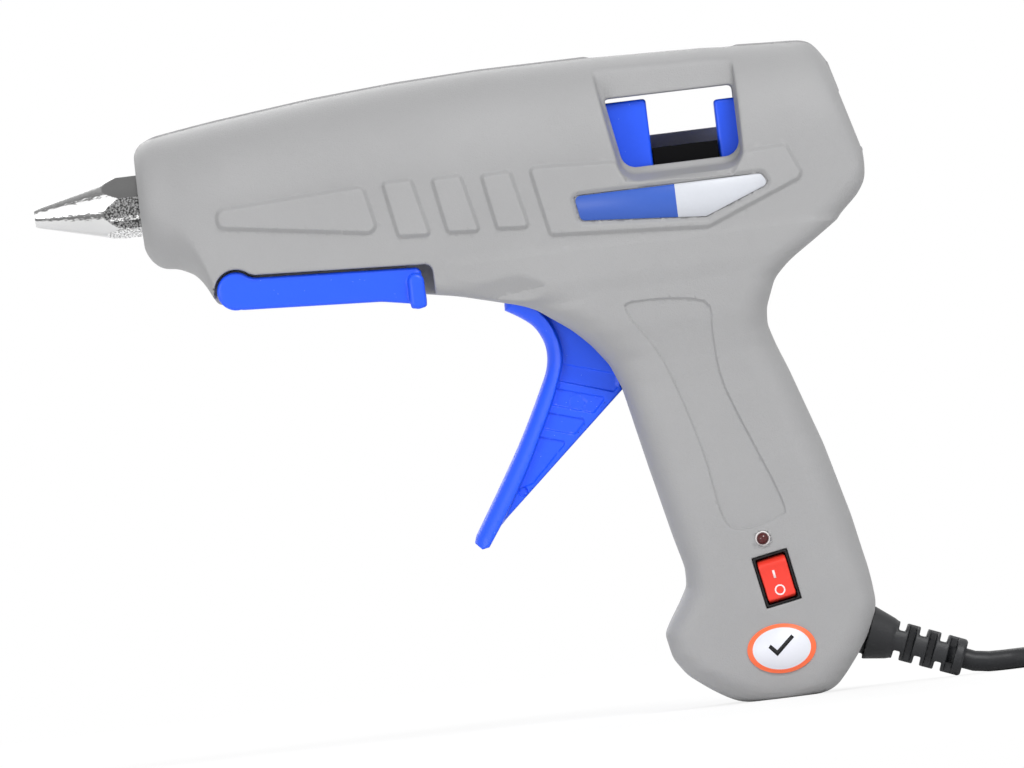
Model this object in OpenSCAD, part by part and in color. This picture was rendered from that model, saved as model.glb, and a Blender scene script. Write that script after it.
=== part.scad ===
// Hot glue applicator: two moulded shells round a heated chamber, a trigger-driven stick feed,
// a fold-down stand, a rocker switch and a mains cord folded into a hank.
// The gun stands on the flat end of its grip: +Z is up, the nozzle points to -X,
// and the shells meet on y = 0.

/* [Casing] */
// Height of the glue-stick axis over the flat end of the grip
axis_h = 133; // [112:1:160]
// Distance from the centre of the base to the front face of the casing
front_x = 136.4; // [124:0.1:164]
// Width across the barrel
barrel_w = 40; // [33:0.1:48]
// Width across the grip
grip_w = 32; // [26:0.1:39]
// Width across the butt of the grip
butt_w = 34; // [28:0.1:41]
// Wall of the shells
wall = 2.4; // [2:0.1:2.9]
// How far the side panels stand out
panel_rise = 0.7; // [0.4:0.1:1.2]
// Depth of the grip panel
grip_panel_depth = 0.5; // [0.3:0.1:0.8]

/* [Stick path] */
// Diameter of the glue stick
stick_d = 11.2; // [9:0.1:13.5]
// Room round the stick, on the diameter
stick_play = 0.4; // [0.2:0.05:0.6]
// Wall of the feed carriage's tube
tube_wall = 3.4; // [2.8:0.1:4.2]
// Length of the feed carriage
carriage_l = 44.5; // [40:0.5:50]

/* [Heater and nozzle] */
// Length of the nozzle in front of the casing
nozzle_l = 24.8; // [20:0.1:30]
// Diameter of the nozzle's tip
nozzle_tip_d = 4.6; // [3.8:0.1:5.6]
// Across the flats of the nozzle
nozzle_flats = 12.8; // [12:0.1:15.4]
// Diameter of the outlet in the tip
outlet_d = 2; // [1.4:0.1:2.6]
// Diameter of the melt chamber
chamber_d = 20; // [18:0.1:22]
// Length of the melt chamber
chamber_l = 42; // [37:0.5:43]
// Length of the inlet sleeve
sleeve_l = 26; // [22:0.5:28]

/* [Trigger] */
// Angle of a full pull
pull = 20; // [14:1:22]
// Distance of the trigger's pin below the stick axis
pivot_drop = 29; // [27:0.5:31]
// Diameter of the trigger's pin
trigger_pin_d = 4; // [3:0.1:4.8]
// Width of the trigger's finger face
trigger_w = 15; // [12:0.5:16]
// Thickness of the trigger's web
web_t = 10.6; // [8:0.2:11.6]

/* [Stand] */
// Thickness of the stand's arms
arm_t = 4.2; // [3:0.1:4.6]
// Length of the stand from its pin
stand_l = 43.6; // [38:0.1:46]
// Diameter of the stand's pins
stand_pin_d = 3; // [2.4:0.1:3.6]
// Angle that the stand swings down
stand_swing = 90; // [60:1:90]

/* [Switch and lamp] */
// Width of the switch
switch_w = 8.4; // [7:0.1:10]
// Length of the switch
switch_l = 12.1; // [10:0.1:14.4]
// Travel of the rocker
rock = 14; // [10:1:16]
// Diameter of the power lamp
lamp_d = 3; // [2.5:0.1:3.6]

/* [Cord] */
// Diameter of the cord
cord_d = 4.8; // [4:0.1:5.2]
// Straight runs of the hank
hank_run = 76; // [72:1:96]
// Diameter of the plug's pins
plug_pin_d = 4; // [3.4:0.1:4.8]
// Length of the plug's pins
plug_pin_l = 19; // [16:0.5:22]

/* [Hidden] */
$fn = 48;
shell_fn = 24;
eps = 0.01;
gap = 0.3;
play = 0.05;
steel = "silver";
blue = [0.16, 0.35, 0.93];
grey = [0.67, 0.68, 0.69];
black = [0.12, 0.13, 0.14];

// Widths across the gun, measured from the mid-plane
barrel_half = barrel_w / 2;
grip_half = grip_w / 2;
butt_half = butt_w / 2;
bore_r = (stick_d + stick_play) / 2;
tube_r = bore_r + tube_wall;
fork_t = 2.4;
fork_in = tube_r + 0.5;
fork_out = fork_in + fork_t;
sill_y = tube_r + 1.3;
ledge_t = 1.6;
arm_out = barrel_half - 1.4;
arm_in = arm_out - arm_t;
pocket_in = arm_in - 0.4;

// Places along the barrel
nose = -front_x;
stand_x = nose + 20.2;
stand_z = -22.7;
pod_low = -25.5;
pod_end = stand_x + stand_l + 1.2;
pivot_x = -44;
chamber_x = nose + 4.2;
sleeve_x = chamber_x + chamber_l - 8;
carriage_x = -15.5;
trough_x = carriage_x + gap;
guide_x = 0.3;
guide_end = 26.4;
guide_foot = 13;
pin_x = pivot_x + pivot_drop * tan(pull / 2);
base_z = -16;

// The top line of the barrel, over the stick axis
crown_x = -45;
crown_top = 21.8;
front_drop = 6.7;
front_bend = front_drop / pow(front_x - 3.7 + crown_x, 2);
rear_bend = 0.0005;
function crown(x) = crown_top - (x < crown_x ? front_bend : rear_bend) * pow(x - crown_x, 2);
shoulder = -1;
// Bead along the top of the joint between the shells: height, width, and the plain stretch over the window
bead_h = 0.4;
bead_w = 3;
bead_break = [-27.9, 6.6];
// Half width of the barrel at a point given as x and height over the stick axis
function side_at(p) = p[1] < shoulder ? barrel_half
    : 1 + (barrel_half - 1) * sqrt(1 - pow((p[1] - shoulder) / (crown(p[0]) - shoulder), 2));

// Sections of the barrel: x, lean, low, high, half width, low corner
barrel_ends = [
    [nose, 0, -10.6, 12, 12.4, 10.5],
    [nose + 1.2, 0, -13.4, 14.2, 14.8, 12.5],
    [nose + 3.7, 0, -15.4, crown(nose + 3.7), 16.2, 14],
    [nose + 7.5, 0, -16.1, crown(nose + 7.5), 17, 12],
    [nose + 11.3, 0, -18.2, crown(nose + 11.3), barrel_half - 1.8, 9],
    [nose + 13.8, 0, -21.2, crown(nose + 13.8), barrel_half - 1.2, 6],
    [nose + 15.4, 0, pod_low, crown(nose + 15.4), barrel_half - 0.8, 4],
    [nose + 20, 0, pod_low, crown(nose + 20), barrel_half, 4]
];
barrel_body = [
    [(nose + 20 + pod_end) / 2, 0, pod_low, crown((nose + 20 + pod_end) / 2), barrel_half, 4],
    [pod_end, 0, pod_low, crown(pod_end), barrel_half, 4],
    [pod_end + 1, 0, -29.1, crown(pod_end + 1), barrel_half, 5],
    [-54, 0, -32.6, crown(-54), barrel_half, 5],
    [-28, 0, -33, crown(-28), barrel_half, 5],
    [0, 4, -33, crown(0), barrel_half, 5],
    [6, 8, -32.6, 20.4, barrel_half, 5],
    [11.5, 12, -28.6, 20.2, barrel_half, 5],
    [19.5, 15, -23.3, 19.8, barrel_half - 0.2, 5],
    [26.5, 15, -18.4, 19.2, barrel_half - 0.8, 5],
    [29.3, 15, -15.4, 17.6, barrel_half - 2, 4]
];
barrel_rear = [[30.9, 15, -12.6, 15, barrel_half - 4.4, 3]];

// Sections of the grip: z, front, back, half width, corner
butt_base = [
    [eps / 2, -9.4, 9.2, butt_half - 5.2, 5],
    [1.1, -12.4, 12.2, butt_half - 3.2, 6]
];
butt_body = [
    [4, -17, 14.9, butt_half - 1.4, 7],
    [8, -21.6, 18.1, butt_half - 0.4, 8],
    [12.3, -24.5, 20.9, butt_half, 8],
    [18, -25.8, 23.5, butt_half, 8],
    [20.6, -24.7, 23.8, butt_half, 8],
    [25, -21.8, 23.4, butt_half, 8.5],
    [28.6, -19.7, 22.9, butt_half - 0.1, 9],
    [33, -19.6, 22, butt_half - 0.3, 9.5],
    [40.5, -21.5, 20.6, grip_half + 0.3, 10],
    [58, -25.3, 16.2, grip_half + 0.3, 10]
];
throat = [
    [axis_h - 56.5, -29.1, 10.2, grip_half + 0.3, 10],
    [axis_h - 50.3, -31.6, 7.9, grip_half + 0.2 * (barrel_half - grip_half), 9],
    [axis_h - 45.5, -35.1, 6.5, grip_half + 0.45 * (barrel_half - grip_half), 8],
    [axis_h - 41.5, -39, 6.8, grip_half + 0.7 * (barrel_half - grip_half), 7],
    [axis_h - 35.1, -47.6, 9.4, barrel_half - 0.4, 6],
    [axis_h - 31, -60, 13, barrel_half - 0.1, 5],
    [axis_h - 27, -68, 19, barrel_half - 0.1, 4]
];

// Outlines on the side of the barrel, as x and height over the stick axis
teardrop = [[-116.7, -3.4], [-83.8, -1.9], [-81.4, -13.3], [-117.2, -7.8]];
teardrop_tip = [-116.6, -5.6];
slat_pitch = 11.6;
slat_drop = -0.5;
slat_count = 3;
slat = [[-79.2, -1.7], [-72.4, -1.6], [-69.4, -15.2], [-76.9, -14.6]];
big_panel = [
    [-44.6, -2.3], [-24, -3.4], [-22.3, -8], [2.6, -9.6], [5.4, -4.6],
    [15.7, -4.2], [18.7, -11.1], [17.7, -12.5], [-4.4, -21.1], [-41.5, -18.6]
];
plate = [[-35.3, -10.1], [9.4, -10], [11.1, -12.8], [-4.6, -18.8], [-34.3, -16.3]];
plate_depth = 0.5;
plate_t = 0.4;
// The right shell keeps a rail across its window, up to this height over the stick
rail_top = 2;
window_hole = [[-25.2, 11.5], [5, 11.4], [5, -3.4], [0.6, -5.2], [-20.4, -5.2], [-22.9, -3]];
window_ledge = [[-26.9, 16.6], [5.4, 16], [5.3, -5], [2, -6.8], [-21.2, -6.6], [-23.4, -3.4]];
window_rim = [[-27.9, 18.4], [6.2, 17.6], [5.5, -5.3], [2.7, -9], [-22, -8], [-23.8, -3.6]];
// The grip panel: its upper part keeps its distance to the stick axis
grip_panel = [
    [-24.1, axis_h - 36.4], [-7.8, axis_h - 38.2], [-6.6, axis_h - 46.3], [-5.2, axis_h - 59.2],
    [4.6, 47], [3.4, 42.4], [-5.8, 40.5], [-9.6, 44.6], [-12.4, 60.6],
    [-18.8, axis_h - 51.1], [-25.6, axis_h - 39.6]
];

// The trigger, as x and height over the stick axis
finger_front = [[-54.5, -34.9], [-48, -38.9], [-45.7, -44.7],
                [-48.1, -53.6], [-56.6, -69.2], [-67.4, -86.4]];
finger_back = [[-60.8, -84.3], [-51.7, -69.4], [-43.9, -54.2], [-42, -45], [-44.4, -36.8], [-50.6, -31.8]];
finger_tip = [[-67.9, -88.2], [-66.3, -89.9], [-64.6, -89.6]];
web_low = [-60.8, -84.3];
web_rear = [-29, -56.5];
web_panels = [
    [[-48.8, -65.6], [-44, -67], [-43.6, -67.6], [-52.7, -76], [-54, -75.6]],
    [[-46.4, -60.1], [-39.2, -62.4], [-38.4, -63], [-41.5, -65.7], [-47.7, -63.8]],
    [[-43.6, -54.8], [-34, -57.8], [-33.2, -58.5], [-36.5, -61.3], [-45.3, -58.4]],
    [[-41.7, -49.1], [-30.8, -52.6], [-29.9, -55.8], [-31.3, -56.8], [-43.2, -52.9]]
];
panel_depth = 1;
hub_r = 5.6;
lug_up = 9.6;
lug_d = 2.4;
spring_post_x = -16.6;
spring_post_d = 4;

// The stand, from its pin: along the arm and upwards
stand_disc_r = 4.5;
arm_line = [
    [0, 4.5], [4.6, 2.7], [stand_l, 0.4], [stand_l, -7.5],
    [stand_l - 3, -7.9], [stand_l - 10, -6.6], [0, -4.5]
];
tab_w = 3.9;
tab_low = -9;
tab_high = -2.3;
tab_out = 2.1;

// Screws that join the shells: x and height over the stick axis, then those in the grip by z
barrel_screws = [[-99.5, 14.5], [-63, 15.5], [16, 14.6], [20, -14.2], [-62, -22.5]];
grip_screws = [[-11, 60], [-13, 12]];
screw_d = 2.6;
screw_head_d = 5.4;
screw_boss_r = 3.1;
screw_seat = 5;
screw_bottom = 4;

// The switch and the lamp on the left side of the butt
switch_at = [1.3, 28.1];
switch_turn = 10;
switch_depth = 11;
lamp_at = [-0.8, 37.8];
lamp_face = butt_half - 0.6;
sticker_at = [0.5, 11.7];
sticker_r = [8.1, 5.8];
sticker_t = 0.25;

// The strain relief leaves the butt along a falling line
relief_at = [20.7, 12.9];
relief_fall = 22;
relief_l = 24;
relief_bore_r = 5.2;
relief_slots = 3;

// The cord's free stretch, from the strain relief to the hank
cord_start = [relief_at[0] + relief_l * cos(relief_fall), 0, relief_at[1] - relief_l * sin(relief_fall)];
cord_lead = cord_start + cord_d / 2 * [cos(relief_fall), 0, -sin(relief_fall)];
cord_route = [
    [48.6, 0, 2.5], [52, 0, 2.4], [55, 0, 2.4], [59, -0.8, 2.4], [64, -3, 2.4],
    [69, -6.8, 2.4], [74, -11.6, 2.4],
    [79, -16.2, 2.4], [84, -19.4, 2.4], [90, -21, 2.4], [96, -21, 2.4], [101, -21, 2.4]
];
cord_path = concat([cord_start, cord_lead], curve(cord_route, 2));
hank_start = cord_route[len(cord_route) - 1];
hank_x = hank_start[0] + cord_d + hank_run / 2;
hank_step = 5.7;
hank_rise = 5.4;
hank_layers = 4;
hank_inner_r = 15.3;
hank_outer_r = hank_inner_r + hank_step;
hank_y = hank_start[1] + hank_outer_r;
hank_waist = 10.5;
tie_t = 0.8;
loop_rings = 24;
cord_tail = [
    [121, -17.6, 20.4], [131, -12.6, 24], [139, -6.4, 27.6], [146, -2, 29.6],
    [152, 0, 30], [155, 0, 30], [158, 0, 30]
];
plug_at = cord_tail[len(cord_tail) - 1];
plug_size = [34, 26, 13.6];
plug_pin_pitch = 19;

// Points on a smooth curve through the given ones
function curve(p, n) = concat([for (i = [0:len(p) - 2], k = [0:n - 1])
    let (a = p[max(i - 1, 0)], b = p[i], c = p[i + 1], d = p[min(i + 2, len(p) - 1)], t = k / n)
    0.5 * (2 * b + (c - a) * t + (2 * a - 5 * b + 4 * c - d) * t * t + (3 * b - a - 3 * c + d) * t * t * t)],
    [p[len(p) - 1]]);
function closed_curve(p, n) = [for (i = [0:len(p) - 1], k = [0:n - 1])
    let (m = len(p), a = p[(i + m - 1) % m], b = p[i], c = p[(i + 1) % m], d = p[(i + 2) % m], t = k / n)
    0.5 * (2 * b + (c - a) * t + (2 * a - 5 * b + 4 * c - d) * t * t + (3 * b - a - 3 * c + d) * t * t * t)];
function lerp(a, b, t) = a + (b - a) * t;
function quarter(c, r, start, n) = [for (i = [0:n])
    let (a = start + 90 * i / n) [c[0] + r[0] * cos(a), c[1] + r[1] * sin(a)]];

// A prism of a side outline, from one distance off the mid-plane to another, on the side given by its sign
module side_prism(side, from, to) {
    rotate([90, 0, 0])
        translate([0, 0, side < 0 ? from : -to])
            linear_extrude(to - from) children();
}
module centred_prism(width) {
    rotate([90, 0, 0])
        linear_extrude(width, center = true) children();
}
module on_axis() {
    translate([0, 0, axis_h]) children();
}
// A turned piece along the stick axis: its outline is given as radius and distance along +X
module turned(x) {
    translate([x, 0, axis_h])
        rotate([0, 90, 0])
            rotate_extrude() children();
}
module rod(x, z, d, from, to) {
    translate([x, from, z])
        rotate([-90, 0, 0])
            cylinder(d = d, h = to - from);
}

// One thin section of the barrel, drawn in by t all round
module barrel_section(s, t) {
    half = s[4] - t;
    low = s[2] + t;
    high = s[3] - t;
    top = [half - 1, high - max(shoulder, s[2] + s[5])];
    low_r = max(s[5] - t, 1);
    multmatrix([[1, 0, -tan(s[1]), s[0] + tan(s[1]) * axis_h], [0, 1, 0, 0], [0, 0, 1, 0], [0, 0, 0, 1]])
        on_axis()
            rotate([90, 0, 90])
                linear_extrude(eps, center = true)
                    polygon(concat(
                        quarter([half - top[0], high - top[1]], top, 0, 6),
                        quarter([top[0] - half, high - top[1]], top, 90, 6),
                        quarter([low_r - half, low + low_r], [low_r, low_r], 180, 4),
                        quarter([half - low_r, low + low_r], [low_r, low_r], 270, 4)));
}
module grip_section(s, t) {
    r = max(s[4] - t, 1);
    front = s[1] + t;
    back = s[2] - t;
    half = s[3] - t;
    translate([0, 0, s[0]])
        linear_extrude(eps, center = true)
            polygon(concat(
                quarter([back - r, half - r], [r, r], 0, 4),
                quarter([front + r, half - r], [r, r], 90, 4),
                quarter([front + r, r - half], [r, r], 180, 4),
                quarter([back - r, r - half], [r, r], 270, 4)));
}
// Barrel and grip, each lofted through its sections; the end sections are left out of the hollow
module casing_form(t, ends) {
    fore = ends ? barrel_ends : [for (i = [2:len(barrel_ends) - 1]) barrel_ends[i]];
    along = concat(fore, barrel_body, ends ? barrel_rear : []);
    upward = concat(ends ? butt_base : [], butt_body, throat);
    for (i = [1:len(along) - 1])
        hull() {
            barrel_section(along[i - 1], t);
            barrel_section(along[i], t);
        }
    for (i = [1:len(upward) - 1])
        hull() {
            grip_section(upward[i - 1], t);
            grip_section(upward[i], t);
        }
}

// The trigger's side view, used for the trigger and for the slot that it swings in
module finger_outline() {
    polygon(concat(curve(finger_front, 3), finger_tip, curve(finger_back, 3)));
}
module web_outline() {
    polygon([web_low, web_rear, [-31.5, -46], [pivot_x + hub_r, -pivot_drop - 1],
             [pivot_x - hub_r + 1, -pivot_drop - 1], [-49.6, -35], [-44, -42], [-44, -53.6]]);
}
module about_pivot(angle) {
    translate([pivot_x, -pivot_drop])
        rotate(angle)
            translate([-pivot_x, pivot_drop]) children();
}
module arm_outline(swing = 0) {
    translate([stand_x, stand_z]) rotate(-swing) {
        circle(stand_disc_r, $fn = shell_fn);
        polygon(arm_line);
    }
}
// Places in the frame of the switch: its width runs to the rear, its length upwards and its depth outwards
module at_switch() {
    translate([switch_at[0], 0, switch_at[1]])
        rotate([0, -switch_turn, 0]) children();
}
module along_relief(s) {
    translate([relief_at[0], 0, relief_at[1]])
        rotate([0, 90 + relief_fall, 0])
            translate([0, 0, s]) children();
}

// A cross rib of the shells with a round seat on the stick axis
module ring_rib(x, thick, seat_r) {
    difference() {
        intersection() {
            casing_form(wall - 0.5, false);
            translate([x - thick / 2, -barrel_half, axis_h - 26]) cube([thick, barrel_w, 50]);
        }
        translate([x - thick, 0, axis_h]) rotate([0, 90, 0]) cylinder(r = seat_r, h = 2 * thick);
    }
}
// A low cross rib that carries a piece by its flat underside
module saddle(x, thick) {
    intersection() {
        casing_form(wall - 0.5, false);
        translate([x - thick / 2, -barrel_half, axis_h + base_z - 4]) cube([thick, barrel_w, 4]);
    }
}
support_r = 13;
support_t = 4;
front_support_x = chamber_x + 6.2;
rear_support_x = chamber_x + chamber_l - 17;
sleeve_r = bore_r + 3.2;
sleeve_rib_x = sleeve_x + sleeve_l - 6;
carriage_rib_x = carriage_x - carriage_l + 2.5;
support_rib_t = 2;

module shell_inside() {
    ring_rib(front_support_x - support_t / 2 - support_rib_t / 2, support_rib_t, chamber_d / 2 + 0.6);
    ring_rib(rear_support_x + support_t / 2 + support_rib_t / 2, support_rib_t, chamber_d / 2 + 0.6);
    ring_rib(sleeve_rib_x, 2, sleeve_r + gap);
    ring_rib(carriage_rib_x, 3, tube_r + gap);
    saddle(trough_x + 6, 3);
    saddle(guide_x + guide_foot - 4, 3);
    intersection() {
        casing_form(wall - 0.5, false);
        union() {
            for (side = [-1, 1]) {
                on_axis() side_prism(side, sill_y, barrel_half) offset(delta = 1.8) polygon(window_ledge);
                on_axis() side_prism(side, pocket_in - 2.2, barrel_half)
                    offset(delta = 2.4, $fn = shell_fn) arm_outline();
                on_axis() side_prism(side, bore_r + 2, barrel_half)
                    translate([carriage_x - 13.5, base_z - gap - 2]) square([15, 2]);
            }
            for (p = barrel_screws)
                rod(p[0], axis_h + p[1], 2 * screw_boss_r, -barrel_half, barrel_half, $fn = shell_fn);
            for (p = grip_screws)
                rod(p[0], p[1], 2 * screw_boss_r, -barrel_half, barrel_half, $fn = shell_fn);
            rod(spring_post_x, axis_h + spring_z, spring_post_d, -barrel_half, barrel_half, $fn = shell_fn);
            for (side = [-1, 1]) {
                pin_boss(side, pivot_x, axis_h - pivot_drop, fork_out + gap, trigger_pin_d / 2 + 2.4);
                pin_boss(side, stand_x, axis_h + stand_z, pocket_in - 5, stand_pin_d / 2 + 2);
            }
        }
    }
}
module pin_boss(side, x, z, from, r) {
    translate([0, 0, z]) side_prism(side, from, barrel_half) translate([x, 0]) circle(r, $fn = shell_fn);
}

// Bead along the joint on the top and rear of the barrel
module joint_bead() {
    intersection() {
        casing_form(-bead_h, true);
        for (x = [[nose, bead_break[0]], [bead_break[1], -nose]])
            translate([x[0], -bead_w / 2, axis_h + base_z]) cube([x[1] - x[0], bead_w, -2 * base_z + 10]);
    }
}
module raised_panels(side) {
    on_axis() side_prism(side, barrel_half - 1.2, barrel_half + panel_rise) {
        polygon(teardrop);
        translate(teardrop_tip) circle(2.2, $fn = shell_fn);
        for (i = [0:slat_count - 1]) translate([i * slat_pitch, i * slat_drop]) polygon(slat);
        polygon(big_panel);
    }
}
module shell_cuts() {
    for (side = [-1, 1]) {
        on_axis() hull() {
            side_prism(side, sill_y + ledge_t, sill_y + ledge_t + eps) polygon(window_ledge);
            side_prism(side, barrel_half + 1, barrel_half + 1 + eps) polygon(window_rim);
        }
        on_axis() side_prism(side, pocket_in, barrel_half + 2)
            offset(delta = 0.6, $fn = shell_fn) {
                arm_outline();
                arm_outline(stand_swing);
            }
    }
    on_axis() side_prism(-1, -eps, barrel_half + 2) polygon(window_hole);
    on_axis() side_prism(1, -eps, barrel_half + 2) intersection() {
        polygon(window_hole);
        translate([-barrel_w, rail_top]) square(2 * barrel_w);
    }
    on_axis() centred_prism(trigger_w + 1) for (a = [0:pull / 5:pull]) about_pivot(a) offset(delta = 0.5) {
        finger_outline();
        web_outline();
    }
    on_axis() translate([nose - 1, 0, 0]) rotate([0, 90, 0])
        cylinder(d = nozzle_flats / cos(30) + 2.4, h = 8, $fn = 32);
    on_axis() translate([guide_end - 4, 0, 0]) rotate([0, 90, 0])
        cylinder(r = bore_r + 0.7, h = 16, $fn = 32);
    rod(pivot_x, axis_h - pivot_drop, trigger_pin_d + 0.1, 1 - barrel_half, barrel_half - 1, $fn = 32);
    rod(stand_x, axis_h + stand_z, stand_pin_d + 0.1, -pocket_in - 1, pocket_in + 1, $fn = 32);
    along_relief(-9) cylinder(r = relief_bore_r + 0.1, h = 22, $fn = 32);
    translate([chamber_x + pocket_from - 2, -pocket_w / 2 - pocket_wall - 1.6,
               axis_h + pocket_top - pocket_h - 3])
        cube([chamber_l - pocket_from, pocket_w + 2 * pocket_wall + 3.2, pocket_h + 9]);
    for (p = barrel_screws) screw_hole(p[0], axis_h + p[1], side_at(p));
    for (p = grip_screws) screw_hole(p[0], p[1], grip_half);
    difference() {
        centred_prism(barrel_w + 4) polygon(closed_curve(grip_panel, 4));
        casing_form(grip_panel_depth, true);
    }
}
// The screws go in from the right: a countersunk seat there, and a blind hole in the left boss
module screw_hole(x, z, half) {
    rod(x, z, screw_d + 0.2, screw_bottom - half, half + 5, $fn = 16);
    rod(x, z, screw_head_d + 0.5, half - screw_seat, half + 5, $fn = 20);
}
module casing() {
    difference() {
        union() {
            difference() {
                casing_form(0, true);
                casing_form(wall, false);
            }
            difference() {
                joint_bead();
                casing_form(wall, false);
            }
            shell_inside();
            for (side = [-1, 1]) raised_panels(side);
        }
        shell_cuts();
    }
}
module half_of(side) {
    intersection() {
        children();
        translate([-200, side < 0 ? -60 : 0, -10]) cube([300, 60, 250]);
    }
}

module left_shell() {
    color(grey) difference() {
        half_of(-1) casing();
        on_axis() side_prism(-1, barrel_half + panel_rise - plate_depth, barrel_half + 2) polygon(plate);
        at_switch() translate([-switch_w / 2 - 0.1, -butt_half - 1, -switch_l / 2 - 0.1])
            cube([switch_w + 0.2, switch_depth, switch_l + 0.2]);
        rod(lamp_at[0], lamp_at[1], lamp_d + 0.2, -butt_half - 1, -butt_half + wall + 2, $fn = shell_fn);
    }
}
module right_shell() {
    color(grey) half_of(1) casing();
}
module shell_screws() {
    color(steel) {
        for (p = barrel_screws) shell_screw(p[0], axis_h + p[1], side_at(p));
        for (p = grip_screws) shell_screw(p[0], p[1], grip_half);
    }
}
// Pan-head screw with a cross slot, its head on the seat in the right shell
module shell_screw(x, z, half) {
    seat = half - screw_seat;
    difference() {
        union() {
            rod(x, z, screw_d, screw_bottom + 0.6 - half, seat + 0.5);
            rod(x, z, screw_head_d, seat, seat + 1.9);
        }
        for (turn = [0, 90])
            translate([x, seat + 1.3, z]) rotate([0, turn, 0])
                translate([-1.6, 0, -0.3]) cube([3.2, 2, 0.6]);
    }
}

thread_r = 4.9;
thread_l = 9;
module nozzle() {
    tip = nose - nozzle_l;
    hex_l = chamber_x - gap - tip;
    corner_r = nozzle_flats / 2 / cos(30);
    round_r = corner_r + 0.5;
    cone_l = 21;
    color([0.75, 0.76, 0.77]) difference() {
        union() {
            intersection() {
                translate([tip - 1, 0, axis_h]) rotate([0, 90, 0]) rotate([0, 0, 15])
                    cylinder(r = corner_r, h = hex_l + 1, $fn = 6);
                turned(tip) polygon([[0, 0], [nozzle_tip_d / 2 - 0.3, 0], [nozzle_tip_d / 2, 0.4],
                    [round_r, cone_l], [round_r, hex_l - 1.2], [round_r - 1.2, hex_l], [0, hex_l]]);
            }
            turned(chamber_x) polygon([[0, -1], [thread_r, -1], [thread_r, thread_l],
                [thread_r - 0.8, thread_l + 0.8], [0, thread_l + 0.8]]);
        }
        turned(tip) polygon([[0, -1], [outlet_d / 2, -1], [outlet_d / 2, 5], [3.3, 14], [3.3, 60], [0, 60]]);
    }
}
// Cast melt chamber: thread for the nozzle in front, fins round the bore, heater pocket below, spigot behind
fin_count = 4;
fin_pitch = 5;
fin_depth = 1.4;
spigot_l = 9;
pocket_w = 13;
pocket_h = 4.6;
pocket_wall = 2;
pocket_top = -chamber_d / 2 + 1.2;
pocket_from = 9.6;
pocket_l = chamber_l - 22;
spigot_r = bore_r + 1.4;
module melt_chamber() {
    r = chamber_d / 2;
    fins = [for (i = [0:fin_count - 1], k = [0:3])
        [k == 0 || k == 3 ? r : r - fin_depth, pocket_from + fin_pitch * (i + [0.2, 0.3, 0.7, 0.8][k])]];
    color("darkgray") difference() {
        union() {
            turned(chamber_x) polygon(concat([[0, 0], [r, 0]], fins, [[r, chamber_l - spigot_l],
                [spigot_r, chamber_l - spigot_l], [spigot_r, chamber_l], [0, chamber_l]]));
            translate([chamber_x + pocket_from, -pocket_w / 2 - pocket_wall,
                       axis_h + pocket_top - pocket_h - 1.2])
                cube([pocket_l, pocket_w + 2 * pocket_wall, pocket_h + 8]);
        }
        turned(chamber_x) polygon([[0, -1], [thread_r + 0.1, -1], [thread_r + 0.1, thread_l + 1],
            [3.5, thread_l + 2.4], [3.5, 15], [bore_r + 0.1, 21],
            [bore_r + 0.1, chamber_l + 1], [0, chamber_l + 1]]);
        translate([chamber_x + pocket_from - 1, -pocket_w / 2, axis_h + pocket_top - pocket_h])
            cube([pocket_l + 5, pocket_w, pocket_h]);
    }
}
// Flat ceramic heater in its pocket, with two contact tongues behind
module heater_element() {
    translate([chamber_x + pocket_from + 0.5, 0, axis_h + pocket_top - pocket_h + 0.2]) color("ivory") {
        translate([0, -pocket_w / 2 + 0.2, 0]) cube([pocket_l + 0.6, pocket_w - 0.4, pocket_h - 0.4]);
        for (y = [-3.6, 1.6]) translate([pocket_l, y, 1.6]) cube([3.4, 2, 0.6]);
    }
}
// Spring steel clip round the heater pocket
clip_t = 0.9;
module heater_clip() {
    w = pocket_w / 2 + pocket_wall;
    z = axis_h + pocket_top - pocket_h - 1.2;
    color(steel) translate([chamber_x + pocket_from + 6, 0, 0]) difference() {
        translate([0, -w - clip_t, z - clip_t]) cube([7, 2 * (w + clip_t), 7.6]);
        translate([-1, -w - 0.05, z - 0.05]) cube([9, 2 * w + 0.1, 9]);
    }
}
module support_ring(x) {
    color([0.45, 0.33, 0.2]) translate([x, 0, axis_h]) rotate([0, 90, 0]) difference() {
        cylinder(r = support_r - 0.2, h = support_t, center = true);
        cylinder(r = chamber_d / 2 + 0.05, h = support_t + 1, center = true);
        translate([chamber_d / 2 + 4, 0, 0])
            cube([20, pocket_w + 2 * pocket_wall + 0.6, support_t + 1], center = true);
    }
}
module front_support() {
    support_ring(front_support_x);
}
module rear_support() {
    support_ring(rear_support_x);
}
module inlet_sleeve() {
    socket_r = spigot_r + 0.05;
    color([0.8, 0.35, 0.2]) turned(sleeve_x) polygon([[socket_r, 0], [sleeve_r, 0], [sleeve_r, 9.6],
        [sleeve_r - 0.8, 11], [sleeve_r - 0.8, 14], [sleeve_r, 15.4], [sleeve_r, sleeve_l - 1],
        [sleeve_r - 1, sleeve_l], [bore_r + 1.4, sleeve_l], [bore_r, sleeve_l - 4],
        [bore_r, 8.2], [socket_r, 8.2]]);
}
// Spring band with two ears for pliers
module sleeve_clamp() {
    color(steel) difference() {
        union() {
            turned(sleeve_x + 2) translate([sleeve_r + 0.05, 0]) square([0.85, 5]);
            for (y = [-2, 1]) translate([sleeve_x + 2, y, axis_h - sleeve_r - 4]) cube([5, 1, 4.2]);
        }
        translate([sleeve_x + 1, -1, axis_h - sleeve_r - 6]) cube([7, 2, 6.6]);
        turned(sleeve_x + 1) square([sleeve_r + 0.05, 8]);
    }
}

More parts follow.
